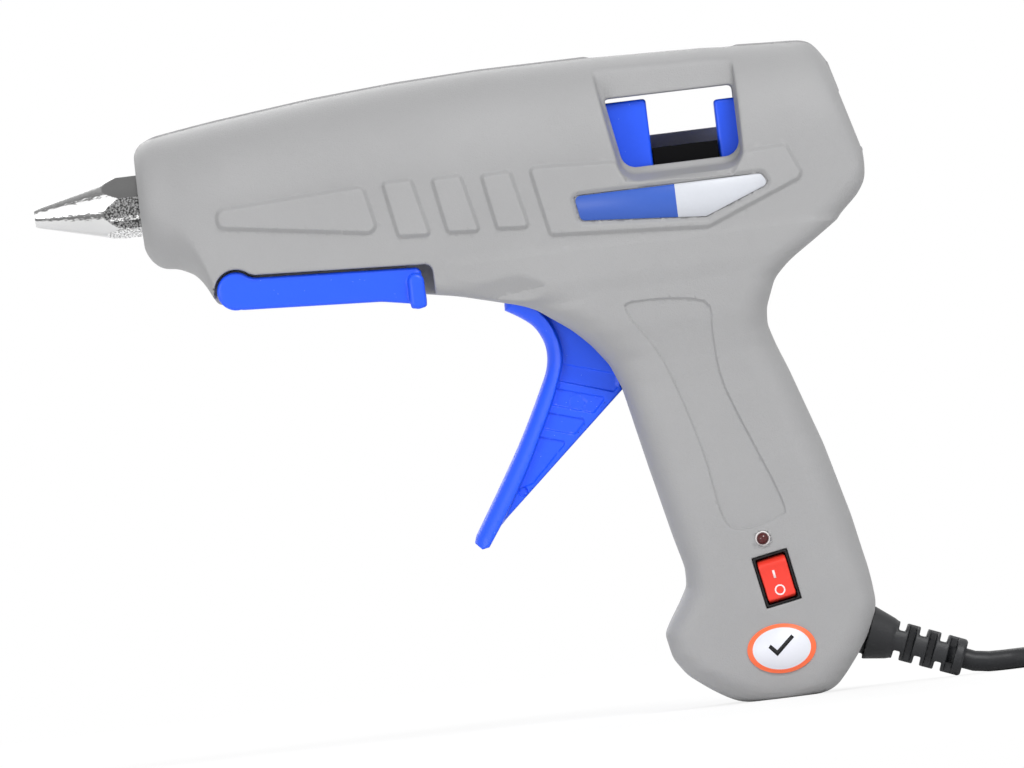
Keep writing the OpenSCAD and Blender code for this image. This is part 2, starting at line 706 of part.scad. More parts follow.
// Outline across the stick path, above a flat foot
module path_block(x, length, half, top, foot = base_z) {
    translate([x, -half, axis_h + foot]) cube([length, 2 * half, top - foot]);
}
trough_top = -1.2;
module stick_trough() {
    color(black) difference() {
        path_block(trough_x, guide_x - trough_x - gap, tube_r, trough_top);
        translate([trough_x - 1, 0, axis_h]) rotate([0, 90, 0]) cylinder(r = bore_r + 0.8, h = 40);
        translate([trough_x - 1, -bore_r - 0.8, axis_h]) cube([40, 2 * bore_r + 1.6, 10]);
        for (side = [-1, 1])
            translate([trough_x - 1, side * tube_r - 2, axis_h + base_z - 1]) cube([40, 4, 6]);
    }
}
module rear_guide() {
    top = 8.3;
    color(blue) difference() {
        union() {
            turned(guide_x) polygon([[0, 0], [top - 0.8, 0], [top, 0.8], [top, guide_end - guide_x],
                                     [0, guide_end - guide_x]]);
            path_block(guide_x, guide_foot, top, top);
        }
        turned(guide_x) polygon([[0, -1], [bore_r + 1, -1], [bore_r, 1], [bore_r, 60], [0, 60]]);
    }
}

// Tube with a block below it for the jaw, two driving pins, and tongues that run on the shells' ledges
block_x = -33;
jaw_x = -29;
jaw_z = -11;
jaw_pin_d = 3;
jaw_half = 3;
// Flat-sided head of the carriage, seen in the window
head_l = 28;
head_rise = 1.3;
module feed_carriage() {
    color(blue) difference() {
        union() {
            turned(carriage_x - carriage_l) polygon([[0, 0], [tube_r - 1, 0], [tube_r, 1],
                [tube_r, carriage_l - 0.8], [tube_r - 0.8, carriage_l], [0, carriage_l]]);
            path_block(block_x, carriage_x - block_x, bore_r + 1.4, 0);
            rod(pin_x, axis_h, 4.6, -fork_out + 0.3, fork_out - 0.3);
            path_block(carriage_x - head_l, head_l, tube_r, tube_r + head_rise, -tube_r);
            translate([carriage_x - 4, -tube_r - 1, axis_h + base_z]) cube([4, 2 * tube_r + 2, 3]);
        }
        turned(carriage_x - carriage_l - 1)
            polygon([[0, 0], [bore_r + 1.2, 0], [bore_r, 2.4], [bore_r, 80], [0, 80]]);
        translate([block_x - 1, -jaw_half - 0.2, axis_h + base_z - 1]) cube([12.2, 2 * jaw_half + 0.4, 16]);
        rod(jaw_x, axis_h + jaw_z, jaw_pin_d, -barrel_half, barrel_half);
    }
}
module grip_jaw() {
    color(blue) difference() {
        union() {
            rod(jaw_x, axis_h + jaw_z, 5.8, -jaw_half, jaw_half);
            on_axis() centred_prism(2 * jaw_half)
                polygon([[jaw_x - 2.4, jaw_z + 0.8], [jaw_x - 1.2, -bore_r - 1.6],
                         [jaw_x + 0.6, -bore_r - 0.25], [jaw_x + 2, -bore_r - 1.1],
                         [jaw_x + 3.4, -bore_r - 0.45], [jaw_x + 4.4, -bore_r - 1.8],
                         [jaw_x + 2.4, jaw_z + 0.8]]);
        }
        rod(jaw_x, axis_h + jaw_z, jaw_pin_d + 2 * play, -barrel_half, barrel_half);
    }
}
module jaw_pin() {
    color(steel) rod(jaw_x, axis_h + jaw_z, jaw_pin_d, -bore_r - 1.4, bore_r + 1.4);
}

// Finger face, ribbed web, hub with a bore for the pin, and a fork whose slots drive the carriage
slot_w = 4.9;
module trigger() {
    arm_top = pivot_drop + 4;
    color(blue) difference() {
        union() {
            on_axis() centred_prism(trigger_w) finger_outline();
            on_axis() centred_prism(web_t) web_outline();
            rod(pivot_x, axis_h - pivot_drop, 2 * hub_r, -fork_out, fork_out);
            for (side = [-1, 1])
                on_axis() side_prism(side, fork_in, fork_out)
                    about_pivot(-pull / 2) translate([pivot_x, -pivot_drop])
                        polygon([[-hub_r + 0.6, 2], [-4.4, 12], [-4.4, arm_top], [4.4, arm_top], [4.4, 12],
                                 [hub_r - 0.6, 2], [0, -3]]);
            on_axis() for (y = [-3.7, 3.7]) translate([0, y, 0]) centred_prism(1.4)
                about_pivot(-pull / 2) translate([pivot_x, -pivot_drop])
                    polygon([[-4, 3], [-2.4, lug_up + 1.8], [2.4, lug_up + 1.8], [4, 3]]);
            rod(pivot_x + lug_up * sin(pull / 2), axis_h + spring_z, lug_d, -4, 4);
        }
        rod(pivot_x, axis_h - pivot_drop, trigger_pin_d + 2 * play, -barrel_half, barrel_half);
        for (side = [-1, 1]) {
            on_axis() side_prism(side, fork_in - 1, fork_out + 1)
                about_pivot(-pull / 2) translate([pivot_x, -pivot_drop])
                    translate([-slot_w / 2, pivot_drop - 3.4]) square([slot_w, 12]);
            on_axis() side_prism(side, web_t / 2 - panel_depth, web_t / 2 + 1)
                for (panel = web_panels)
                    polygon(panel);
        }
    }
}
module trigger_pin() {
    color(steel) rod(pivot_x, axis_h - pivot_drop, trigger_pin_d, 1.4 - barrel_half, barrel_half - 1.4);
}

// Extension spring from the trigger's lug to a post between the shells
spring_wire = 0.8;
spring_r = 2.4;
spring_turns = 10;
spring_x = pivot_x + lug_up * sin(pull / 2) + lug_d / 2 + spring_wire / 2;
spring_end = spring_post_x - spring_post_d / 2 - spring_wire / 2;
spring_z = lug_up * cos(pull / 2) - pivot_drop;
function spring_points() = [for (i = [0:8 * spring_turns]) let (t = i / (8 * spring_turns))
    [lerp(spring_x, spring_end, t), spring_r * cos(45 * i), axis_h + spring_z + spring_r * sin(45 * i)]];
module return_spring() {
    color(steel) tube(spring_points(), spring_wire / 2, 6);
}

// A tube of flat-sided rings along points, with closed ends
function unit(v) = v / norm(v);
function tangent(p, i) = unit(p[min(i + 1, len(p) - 1)] - p[max(i - 1, 0)]);
function side_of(t) = unit(cross(abs(t[2]) > 0.9 ? [1, 0, 0] : [0, 0, 1], t));
module tube(p, r, sides) {
    rings = [for (i = [0:len(p) - 1], k = [0:sides - 1])
        let (t = tangent(p, i), u = side_of(t), v = cross(t, u), a = 360 * (k + 0.5) / sides)
        p[i] + r * (cos(a) * u + sin(a) * v)];
    walls = [for (i = [0:len(p) - 2], k = [0:sides - 1])
        let (a = i * sides + k, b = i * sides + (k + 1) % sides)
        each [[a, a + sides, b], [b, a + sides, b + sides]]];
    last = (len(p) - 1) * sides;
    caps = [for (k = [1:sides - 2]) each [[0, k, k + 1], [last, last + k + 1, last + k]]];
    polyhedron(rings, concat(walls, caps));
}

// Two arms and a cross bar, with a finger tab on each arm and blind bores for the pins
module stand() {
    color(blue) difference() {
        union() {
            for (side = [-1, 1]) {
                on_axis() side_prism(side, arm_in, arm_out) arm_outline();
                on_axis() side_prism(side, arm_out - 1, arm_out + tab_out)
                    translate([stand_x + stand_l - tab_w, stand_z + tab_low])
                        square([tab_w, tab_high - tab_low]);
            }
            on_axis() centred_prism(2 * arm_in + 1)
                translate([stand_x + stand_l - 8, stand_z - 7.6]) square([5, 2.8]);
        }
        rod(stand_x, axis_h + stand_z, stand_pin_d + 2 * play, 1.2 - arm_out, arm_out - 1.2);
    }
}
module stand_pins() {
    color(steel) {
        rod(stand_x, axis_h + stand_z, stand_pin_d, pocket_in - 4.6, arm_out - 1.5);
        rod(stand_x, axis_h + stand_z, stand_pin_d, 1.5 - arm_out, 4.6 - pocket_in);
    }
}

// Switch: a black frame with a pocket, and a rocker on an axle across it
frame_t = 0.9;
rocker_axle = -butt_half + 3;
module switch_body() {
    color(black) at_switch() difference() {
        union() {
            translate([-switch_w / 2, 0.1 - butt_half, -switch_l / 2])
                cube([switch_w, switch_depth - 1.2, switch_l]);
            for (z = [-4, 0, 3])
                translate([-1.6, switch_depth - 1.2 - butt_half, z]) cube([3.2, 5, 0.7]);
        }
        translate([-switch_w / 2 + frame_t, -butt_half - 1, -switch_l / 2 + frame_t])
            cube([switch_w - 2 * frame_t, 8, switch_l - 2 * frame_t]);
    }
}
module switch_rocker() {
    half = switch_l / 2 - frame_t - 0.75;
    width = switch_w - 2 * frame_t - 0.5;
    color([0.9, 0.2, 0.12]) at_switch() translate([0, rocker_axle, 0]) rotate([rock / 2, 0, 0])
        rotate([90, 0, 90]) linear_extrude(width, center = true)
            difference() {
                polygon([[-3.2, -half], [-2.5, 0], [-3.2, half], [0.6, half - 0.8],
                         [2.6, 1.2], [2.6, -1.2], [0.6, 0.8 - half]]);
                circle(0.8);
            }
}
module power_lamp() {
    r = lamp_d / 2;
    color([0.45, 0.04, 0.04]) translate([lamp_at[0], -lamp_face, lamp_at[1]]) rotate([-90, 0, 0]) union() {
        cylinder(r = r, h = 5.2);
        intersection() {
            sphere(r);
            translate([0, 0, -r]) cylinder(r = r, h = 2 * r, center = true);
        }
        translate([0, 0, wall + gap]) cylinder(r = r + 0.4, h = 1);
    }
}
module name_plate() {
    from = barrel_half + panel_rise - plate_depth;
    color([0.3, 0.4, 0.8]) on_axis() side_prism(-1, from, from + plate_t)
        polygon([for (p = plate) lerp(p, [-11, -14], 0.012)]);
}
module oval_sticker() {
    color([0.95, 0.9, 0.85]) side_prism(-1, butt_half, butt_half + sticker_t)
        translate(sticker_at)
            polygon([for (a = [0:7.5:352.5]) [sticker_r[0] * cos(a), sticker_r[1] * sin(a)]]);
}

// Saddle over the cord inside the butt, held by two screws
clamp_at = [4, 17];
module cord_clamp() {
    color(black) translate([clamp_at[0], 0, clamp_at[1]]) difference() {
        translate([-4, -10, -1]) cube([8, 20, 4.5]);
        translate([0, 0, -2]) rotate([0, 90, 0]) cylinder(d = cord_d + 0.2, h = 20, center = true);
        for (y = [-7, 7]) translate([0, y, -3]) cylinder(d = 2.4, h = 10);
    }
}
module clamp_screws() {
    color(steel) for (y = [-7, 7]) translate([clamp_at[0], y, clamp_at[1]]) {
        translate([0, 0, -5]) cylinder(d = 2.2, h = 8.6);
        difference() {
            translate([0, 0, 3.5]) cylinder(d = 4.4, h = 1.5);
            translate([-3, -0.3, 4.3]) cube([6, 0.6, 2]);
        }
    }
}

// Rubber strain relief: a flange inside the wall, a cone, then a sleeve cut by staggered slots
module strain_relief() {
    color(black) difference() {
        along_relief(0) rotate_extrude() polygon([[0, -6], [6.8, -6], [6.8, -4], [relief_bore_r, -4],
            [relief_bore_r, 1.4], [6.25, 1.6], [4.9, 6.2], [4.5, 7], [4.4, relief_l - 0.6], [4, relief_l],
            [0, relief_l]]);
        for (i = [0:2 * relief_slots - 1], half = [0, 180])
            along_relief(9 + 2.5 * i) rotate([0, 0, half + (i % 2 == 0 ? 90 : 0)])
                translate([cord_d / 2 + 0.4, -6, -0.8]) cube([6, 12, 1.6]);
    }
}
module cord() {
    color(black) tube(cord_path, cord_d / 2, 8);
}

// The hank: racetrack loops that wind in and out again, one loop to a layer, drawn in at the waist
function hank_r(k) = let (t = k / loop_rings, f = t - 2 * floor(t / 2))
    hank_outer_r - hank_step * (f < 1 ? f : 2 - f);
function hank_z(k) = let (t = k / loop_rings, n = floor(t + 0.25), f = min(max((t - n + 0.25) / 0.5, 0), 1))
    cord_d / 2 + hank_rise * max(0, min(hank_layers - 1, n == 0 ? 0 : n - 1 + f))
    + (tie_t + 0.3) * waist_share(k);
function waist_share(k) = let (q = k % (loop_rings / 2)) q < 4 ? pow(sin(45 * q), 2) : 0;
function hank_xy(k) = let (q = k % loop_rings, r = hank_r(k), half = hank_run / 2,
        f = q < 4 ? q / 4 : q < 12 ? (q - 4) / 8 : q < 16 ? (q - 12) / 4 : (q - 16) / 8,
        draw = hank_waist * pow(sin(180 * f), 2))
    q < 4 ? [hank_run * f - half, draw - r]
    : q < 12 ? [half + r * cos(180 * f - 90), r * sin(180 * f - 90)]
    : q < 16 ? [half - hank_run * f, r - draw]
    : [-half + r * cos(180 * f + 90), r * sin(180 * f + 90)];
hank_points = [for (k = [0:loop_rings * hank_layers])
    let (p = hank_xy(k)) [hank_x + p[0], hank_y + p[1], hank_z(k)]];
tail_points = curve(concat([hank_points[len(hank_points) - 1]], cord_tail), 2);
hank_path = concat([hank_start], hank_points, [for (i = [1:len(tail_points) - 1]) tail_points[i]]);
function path_length(p) = [for (i = [0:len(p) - 2]) norm(p[i + 1] - p[i])] * [for (i = [0:len(p) - 2]) 1];
function between(a, b, c, d) =
    min([for (s = [0:0.25:1], t = [0:0.25:1]) norm(lerp(a, b, s) - lerp(c, d, t))]);
hank_gap = min([for (i = [0:len(hank_path) - 2], j = [i + 8:1:len(hank_path) - 2])
    if (norm(hank_path[i] - hank_path[j]) < 40)
        between(hank_path[i], hank_path[i + 1], hank_path[j], hank_path[j + 1])]) - cord_d;
module cord_hank() {
    echo(least_gap_in_hank = hank_gap, cord_length = path_length(hank_path) + path_length(cord_path));
    color(black) tube(hank_path, cord_d / 2, 6);
}
// Flat band round the waist of the hank
module cord_tie() {
    half = hank_outer_r - hank_waist + cord_d / 2 + 0.5;
    low = tie_t;
    top = tie_t + 0.6 + cord_d + hank_rise * (hank_layers - 1);
    color(black) translate([hank_x, hank_y, 0]) rotate([90, 0, 90])
        linear_extrude(5, center = true) difference() {
        translate([-half - tie_t, 0]) square([2 * (half + tie_t), top + tie_t]);
        translate([-half, low]) square([2 * half, top - low]);
    }
}
// Flat two-pin plug on top of the hank
pin_bed = 12;
pin_step = 0.6;
module at_pins() {
    for (y = [-plug_pin_pitch / 2, plug_pin_pitch / 2])
        translate(plug_at + [plug_size[0] - pin_bed, y, 0]) rotate([0, 90, 0]) children();
}
module plug_body() {
    color(black) difference() {
        translate(plug_at) rotate([90, 0, 90]) linear_extrude(plug_size[0]) intersection() {
            square([plug_size[1], plug_size[2]], center = true);
            circle(plug_size[1] / 2 + 0.2);
        }
        at_pins() cylinder(d = plug_pin_d - pin_step, h = 20);
    }
}
module plug_pins() {
    color(steel) at_pins() {
        cylinder(d = plug_pin_d - pin_step, h = pin_bed + 1);
        translate([0, 0, pin_bed]) cylinder(d = plug_pin_d, h = plug_pin_l - 1);
        translate([0, 0, pin_bed + plug_pin_l - 1]) cylinder(d1 = plug_pin_d, d2 = plug_pin_d - 1.6, h = 1);
    }
}

left_shell();
right_shell();
shell_screws();
nozzle();
melt_chamber();
heater_element();
heater_clip();
front_support();
rear_support();
inlet_sleeve();
sleeve_clamp();
stick_trough();
rear_guide();
feed_carriage();
grip_jaw();
jaw_pin();
trigger();
trigger_pin();
return_spring();
stand();
stand_pins();
switch_body();
switch_rocker();
power_lamp();
name_plate();
oval_sticker();
cord_clamp();
clamp_screws();
strain_relief();
cord();
cord_hank();
cord_tie();
plug_body();
plug_pins();
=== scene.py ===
import bpy
import numpy as np
from mathutils import Matrix


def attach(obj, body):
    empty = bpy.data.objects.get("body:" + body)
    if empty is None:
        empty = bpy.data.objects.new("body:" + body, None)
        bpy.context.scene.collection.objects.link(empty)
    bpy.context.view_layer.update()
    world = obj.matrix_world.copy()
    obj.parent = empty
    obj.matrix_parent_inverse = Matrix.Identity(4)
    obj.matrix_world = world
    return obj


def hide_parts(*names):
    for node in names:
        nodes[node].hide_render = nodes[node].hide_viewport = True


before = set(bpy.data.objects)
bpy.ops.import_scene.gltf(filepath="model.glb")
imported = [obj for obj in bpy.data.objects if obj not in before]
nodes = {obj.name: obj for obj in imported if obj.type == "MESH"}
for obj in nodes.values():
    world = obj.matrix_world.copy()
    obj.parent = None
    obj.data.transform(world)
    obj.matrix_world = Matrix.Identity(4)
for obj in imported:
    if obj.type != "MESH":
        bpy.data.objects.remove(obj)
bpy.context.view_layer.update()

# Camera: the gun is seen square from its left side, a little from above, and the picture is rolled
# so that the barrel rises to the right. The lens is long, so that hardly any perspective shows.
view_centre = np.array([-0.0547, 0.0, 0.0808])
view_from = 6.0
view_width = 0.2406
film_width = 36.0
lift = np.radians(0.3)
roll = np.radians(7.0)
back = np.array([0.0, -np.cos(lift), np.sin(lift)])
level = np.array([1.0, 0.0, 0.0])
upright = np.cross(back, level)
right = level * np.cos(roll) - upright * np.sin(roll)
up = level * np.sin(roll) + upright * np.cos(roll)
lens = bpy.data.cameras.new("camera")
lens.sensor_width = film_width
lens.lens = film_width * view_from / view_width
lens.clip_end = 50.0
camera = bpy.data.objects.new("camera", lens)
turn = np.eye(4)
turn[:3, 0] = right
turn[:3, 1] = up
turn[:3, 2] = back
turn[:3, 3] = view_centre + back * view_from
camera.matrix_world = Matrix(turn.tolist())
bpy.context.scene.collection.objects.link(camera)
bpy.context.scene.camera = camera
bpy.context.scene.view_settings.view_transform = "Standard"

# Cord: a round black mains lead, straight out of the relief, down to the table and into a hank
# that is tied round its waist. One tube of rings follows the whole route to the plug.
cord_d = 4.8
hank_x = 143.8
hank_straight = 76.0
hank_r = 21.0
hank_inset = 5.7
hank_layer = 5.4
hank_waist = 10.5


def through(points, steps):
    """Catmull-Rom curve through the points: each stretch is a cubic in t from 0 to 1."""
    p = np.asarray(points, float)
    p = np.vstack([p[:1], p, p[-1:]])
    t = np.linspace(0, 1, steps, endpoint=False)[:, None]
    runs = []
    for a, b, c, d in zip(p[:-3], p[1:-2], p[2:-1], p[3:]):
        cubic = 2 * b + (c - a) * t + (2 * a - 5 * b + 4 * c - d) * t**2 + (3 * b - a - 3 * c + d) * t**3
        runs.append(0.5 * cubic)
    return np.vstack(runs + [p[-1:]])


def hank_line(per_loop):
    """Racetrack loops: two straights drawn in at the waist, and two half circles between them. k counts
    24 marks to a loop, 4 on a straight and 8 on an end. The radius shrinks by the inset and grows back
    from loop to loop, and each loop after the first climbs one layer."""
    k = np.linspace(0, 96, 4 * per_loop + 1)
    t = k / 24
    f = t - 2 * np.floor(t / 2)
    r = hank_r - hank_inset * np.where(f < 1, f, 2 - f)
    n = np.floor(t + 0.25)
    climb = np.clip((t - n + 0.25) / 0.5, 0, 1)
    layer = np.clip(np.where(n == 0, 0, n - 1 + climb), 0, 3)
    half_loop = np.mod(k, 12)
    waist = np.where(half_loop < 4, np.sin(np.radians(45 * half_loop)) ** 2, 0)
    z = cord_d / 2 + hank_layer * layer + 1.1 * waist
    q = np.mod(k, 24)
    stretch = [q < 4, q < 12, q < 16]
    g = np.select(stretch, [q / 4, (q - 4) / 8, (q - 12) / 4], (q - 16) / 8)
    draw = hank_waist * np.sin(np.pi * g) ** 2
    arc = np.pi * (g - 0.5)
    bow, rise = r * np.cos(arc), r * np.sin(arc)
    end, along = hank_straight / 2, hank_straight * g
    x = np.select(stretch, [along - end, end + bow, end - along], -end - bow)
    y = np.select(stretch, [draw - r, rise, r - draw], -rise)
    return np.stack([hank_x + x, y, z], 1)


fall = np.radians(22)
falling = np.array([np.cos(fall), 0.0, -np.sin(fall)])
relief_root = np.array([20.7, 0.0, 12.9])
relief_run = 24
cord_exit = relief_root + relief_run * falling
cord_lead = cord_exit + cord_d / 2 * falling
to_hank = [
    [48.6, 0, 2.5], [52, 0, 2.4], [55, 0, 2.4], [59, -0.8, 2.4], [64, -3, 2.4], [69, -6.8, 2.4],
    [74, -11.6, 2.4], [79, -16.2, 2.4], [84, -19.4, 2.4], [90, -21, 2.4], [96, -21, 2.4], [101, -21, 2.4],
]
wound = hank_line(96)
to_plug = [
    [121, -17.6, 20.4], [131, -12.6, 24], [139, -6.4, 27.6], [146, -2, 29.6],
    [152, 0, 30], [155, 0, 30], [158, 0, 30],
]
into_relief = cord_exit - 6 * falling
cord_line = np.vstack([
    into_relief[None], cord_exit[None], cord_lead[None], through(to_hank, 6), wound[1:],
    through(np.vstack([wound[-1:], to_plug]), 6)[1:],
])


def tube(line, radius, sides):
    """Rings of the radius round the line, square to it: line + radius (cos a u + sin a v)."""
    ahead = np.gradient(line, axis=0)
    ahead /= np.linalg.norm(ahead, axis=1)[:, None]
    u = np.cross([0.0, 0.0, 1.0], ahead)
    u /= np.linalg.norm(u, axis=1)[:, None]
    v = np.cross(ahead, u)
    a = np.linspace(0, 2 * np.pi, sides, endpoint=False)
    radius = np.broadcast_to(radius, len(line))[:, None, None]
    outward = np.cos(a)[None, :, None] * u[:, None] + np.sin(a)[None, :, None] * v[:, None]
    return line[:, None] + radius * outward


def piece(name, mesh, body, finish, replaced):
    """Object of a mesh with its finish, the body it rides on and the nodes it stands for."""
    obj = bpy.data.objects.new(name, mesh)
    bpy.context.scene.collection.objects.link(obj)
    mesh.materials.append(finish)
    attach(obj, body)
    if replaced:
        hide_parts(*replaced)
    return obj


def surface(name, grid, body, finish, replaced=(), ring=False):
    """Mesh of a grid of points in mm, closed across its second direction, with flat ends or as a ring."""
    rows, columns = grid.shape[:2]
    i, j = np.meshgrid(np.arange(rows if ring else rows - 1), np.arange(columns), indexing="ij")
    step, row = (j + 1) % columns, (i + 1) % rows
    quads = np.stack([i * columns + j, i * columns + step, row * columns + step, row * columns + j], -1)
    faces = quads.reshape(-1, 4).tolist()
    if not ring:
        faces.append(list(range(columns))[::-1])
        faces.append(list(range((rows - 1) * columns, rows * columns)))
    mesh = bpy.data.meshes.new(name)
    mesh.from_pydata((grid.reshape(-1, 3) * 0.001).tolist(), [], faces)
    mesh.polygons.foreach_set("use_smooth", [True] * len(faces))
    return piece(name, mesh, body, finish, replaced)


def node(tree, kind, inputs, **settings):
    """New shader node with its settings. Each input has a value or is joined to another node's output."""
    made = tree.nodes.new("ShaderNode" + kind)
    for name, value in settings.items():
        setattr(made, name, value)
    for name, value in inputs.items():
        if isinstance(value, bpy.types.NodeSocket):
            tree.links.new(value, made.inputs[name])
        else:
            made.inputs[name].default_value = value
    return made


def grain_group():
    """Fine moulded grain: a tone that drifts over the piece, and a height for a bump."""
    group = bpy.data.node_groups.new("moulded_grain", "ShaderNodeTree")
    for way, names in (("INPUT", ("Fineness", "Drift")), ("OUTPUT", ("Tone", "Height"))):
        for name in names:
            group.interface.new_socket(name, in_out=way, socket_type="NodeSocketFloat")
    given, made = group.nodes.new("NodeGroupInput"), group.nodes.new("NodeGroupOutput")
    fineness, amount = given.outputs["Fineness"], given.outputs["Drift"]
    place = node(group, "TexCoord", {}).outputs["Object"]
    cloud = node(group, "TexNoise", {"Vector": place, "Scale": 38.0, "Detail": 4.0})
    fine = node(group, "TexNoise", {"Vector": place, "Scale": fineness, "Detail": 3.0, "Roughness": 0.6})
    centred = node(group, "Math", {0: cloud.outputs["Fac"], 1: 0.5}, operation="SUBTRACT")
    drift = node(group, "Math", {0: centred.outputs[0], 1: amount, 2: 0.97}, operation="MULTIPLY_ADD")
    grains = {0: fine.outputs["Fac"], 1: 0.06, 2: drift.outputs[0]}
    speck = node(group, "Math", grains, operation="MULTIPLY_ADD")
    group.links.new(speck.outputs[0], made.inputs["Tone"])
    group.links.new(fine.outputs["Fac"], made.inputs["Height"])
    return group


moulded_grain = grain_group()


def linear(r, g, b):
    """Scene-linear colour of a display colour given from 0 to 255."""
    c = np.array([r, g, b]) / 255
    return tuple(np.where(c <= 0.04045, c / 12.92, ((c + 0.055) / 1.055) ** 2.4)) + (1.0,)


def moulded(name, colour, rough, fineness, drift, depth, metal=0.0, shine=0.5):
    """Material with the grain: the tone shades the colour, and the height bumps the surface."""
    made = bpy.data.materials.new(name)
    made.use_nodes = True
    tree = made.node_tree
    shader = tree.nodes["Principled BSDF"]
    shader.inputs["Roughness"].default_value = rough
    shader.inputs["Metallic"].default_value = metal
    shader.inputs["Specular IOR Level"].default_value = shine
    grain = node(tree, "Group", {}, node_tree=moulded_grain)
    grain.inputs["Fineness"].default_value = fineness
    grain.inputs["Drift"].default_value = drift
    tinted = {"Factor": 1.0, "A": colour, "B": grain.outputs["Tone"]}
    shade = node(tree, "Mix", tinted, data_type="RGBA", blend_type="MULTIPLY")
    bump = node(tree, "Bump", {"Strength": 1.0, "Distance": depth, "Height": grain.outputs["Height"]})
    tree.links.new(shade.outputs["Result"], shader.inputs["Base Color"])
    tree.links.new(bump.outputs["Normal"], shader.inputs["Normal"])
    return made


lead_sheath = moulded("lead_sheath", linear(24, 25, 28), 0.45, 900, 0.25, 0.00004, shine=0.35)
lead_rings = tube(cord_line, cord_d / 2, 20)
cord = surface("lead", lead_rings, "gun", lead_sheath, ["cord", "cord_hank"])

# Table and light: a pale table that shows white to the camera but for a soft shadow near the gun. A small
# strong lamp stands to the upper right in front, a weaker one low on the left and a wide one behind, under
# a sky that is even on the gun and white to the camera and in reflections.
table_mesh = bpy.data.meshes.new("table")
table_mesh.from_pydata([(-6, -6, 0), (6, -6, 0), (6, 6, 0), (-6, 6, 0)], [], [(0, 1, 2, 3)])
table = bpy.data.objects.new("table", table_mesh)
bpy.context.scene.collection.objects.link(table)
table_paint = bpy.data.materials.new("table_paint")
table_paint.use_nodes = True
table_mesh.materials.append(table_paint)
pure_white = (1, 1, 1, 1)
tree = table_paint.node_tree
paint = tree.nodes["Principled BSDF"]
paint.inputs["Base Color"].default_value = (0.9, 0.9, 0.9, 1)
paint.inputs["Roughness"].default_value = 0.9
seen = node(tree, "LightPath", {})
glow = node(tree, "Emission", {"Color": pure_white})
place = node(tree, "TexCoord", {})
distance = node(tree, "VectorMath", {0: place.outputs["Object"]}, operation="LENGTH")
from_gun = {"Value": distance.outputs["Value"], "From Min": 0.15, "From Max": 0.7, "To Min": 0.8}
fade = node(tree, "MapRange", from_gun)
straight_on = {0: seen.outputs["Is Camera Ray"], 1: fade.outputs["Result"]}
share = node(tree, "Math", straight_on, operation="MULTIPLY")
mixed = node(tree, "MixShader", {"Fac": share.outputs[0], 1: paint.outputs[0], 2: glow.outputs[0]})
tree.links.new(mixed.outputs[0], tree.nodes["Material Output"].inputs["Surface"])

sky = bpy.data.worlds.new("sky")
sky.use_nodes = True
bpy.context.scene.world = sky
tree = sky.node_tree
ambient = tree.nodes["Background"]
ambient.inputs["Color"].default_value = pure_white
ambient.inputs["Strength"].default_value = 0.55
white = node(tree, "Background", {"Color": pure_white, "Strength": 1.0})
seen = node(tree, "LightPath", {}).outputs
either = node(tree, "Math", {0: seen["Is Camera Ray"], 1: seen["Is Glossy Ray"]}, operation="MAXIMUM")
any_of = node(tree, "Math", {0: either.outputs[0], 1: seen["Is Transmission Ray"]}, operation="MAXIMUM")
mixed = node(tree, "MixShader", {"Fac": any_of.outputs[0], 1: ambient.outputs[0], 2: white.outputs[0]})
tree.links.new(mixed.outputs[0], tree.nodes["World Output"].inputs["Surface"])


def lamp(name, place, aim, size, power):
    """Square soft lamp at a place, facing the aim."""
    data = bpy.data.lights.new(name, "AREA")
    data.size = size
    data.energy = power
    obj = bpy.data.objects.new(name, data)
    obj.location = place
    away = np.array(place) - np.array(aim)
    away = away / np.linalg.norm(away)
    side = np.cross([0.0, 0.0, 1.0], away)
    side = side / np.linalg.norm(side)
    turn = np.eye(4)
    turn[:3, 0] = side
    turn[:3, 1] = np.cross(away, side)
    turn[:3, 2] = away
    turn[:3, 3] = place
    obj.matrix_world = Matrix(turn.tolist())
    bpy.context.scene.collection.objects.link(obj)


lamp("key", (0.45, -0.95, 1.05), (-0.05, 0, 0.08), 0.5, 11.8)
lamp("fill", (-0.8, -1.0, 0.1), (0, 0, 0.03), 0.6, 5.5)
lamp("rear", (-0.4, 1.0, 0.8), (-0.05, 0, 0.1), 0.9, 8.0)

# Housing: two moulded shells of grey textured plastic, joined on the mid-plane. Each has raised panels,
# a scooped window, a pocket for the stand, and bosses and ribs inside.
axis_h = 133.0
nose = -136.4
barrel_end = 31.4
grip_top = 110
shell_wall = 2.4
crown_x = -45
crown_h = 21.8
crown_drop = 6.7
crown_run = 87.7
eaves = -1
flat_half = 1
station_step = 0.25


def crown(x):
    """Top line of the barrel: a parabola falling away from its highest place, faster towards the nose."""
    return crown_h - np.where(x < crown_x, crown_drop / crown_run**2, 0.0005) * (x - crown_x) ** 2


def blurred(stations, spread):
    """Table of the stations' values at even steps, straight between stations, then averaged twice."""
    s = np.asarray(stations, float)
    t = np.arange(s[0, 0], s[-1, 0] + station_step, station_step)
    n = max(int(spread / station_step) // 2 * 2 + 1, 1)
    columns = []
    for c in range(1, s.shape[1]):
        v = np.interp(t, s[:, 0], s[:, c])
        for _ in range(2):
            padded = np.concatenate([2 * v[0] - v[n // 2:0:-1], v, 2 * v[-1] - v[-2:-n // 2 - 1:-1]])
            v = np.convolve(padded, np.ones(n) / n, "valid")
        columns.append(v)
    return t, columns


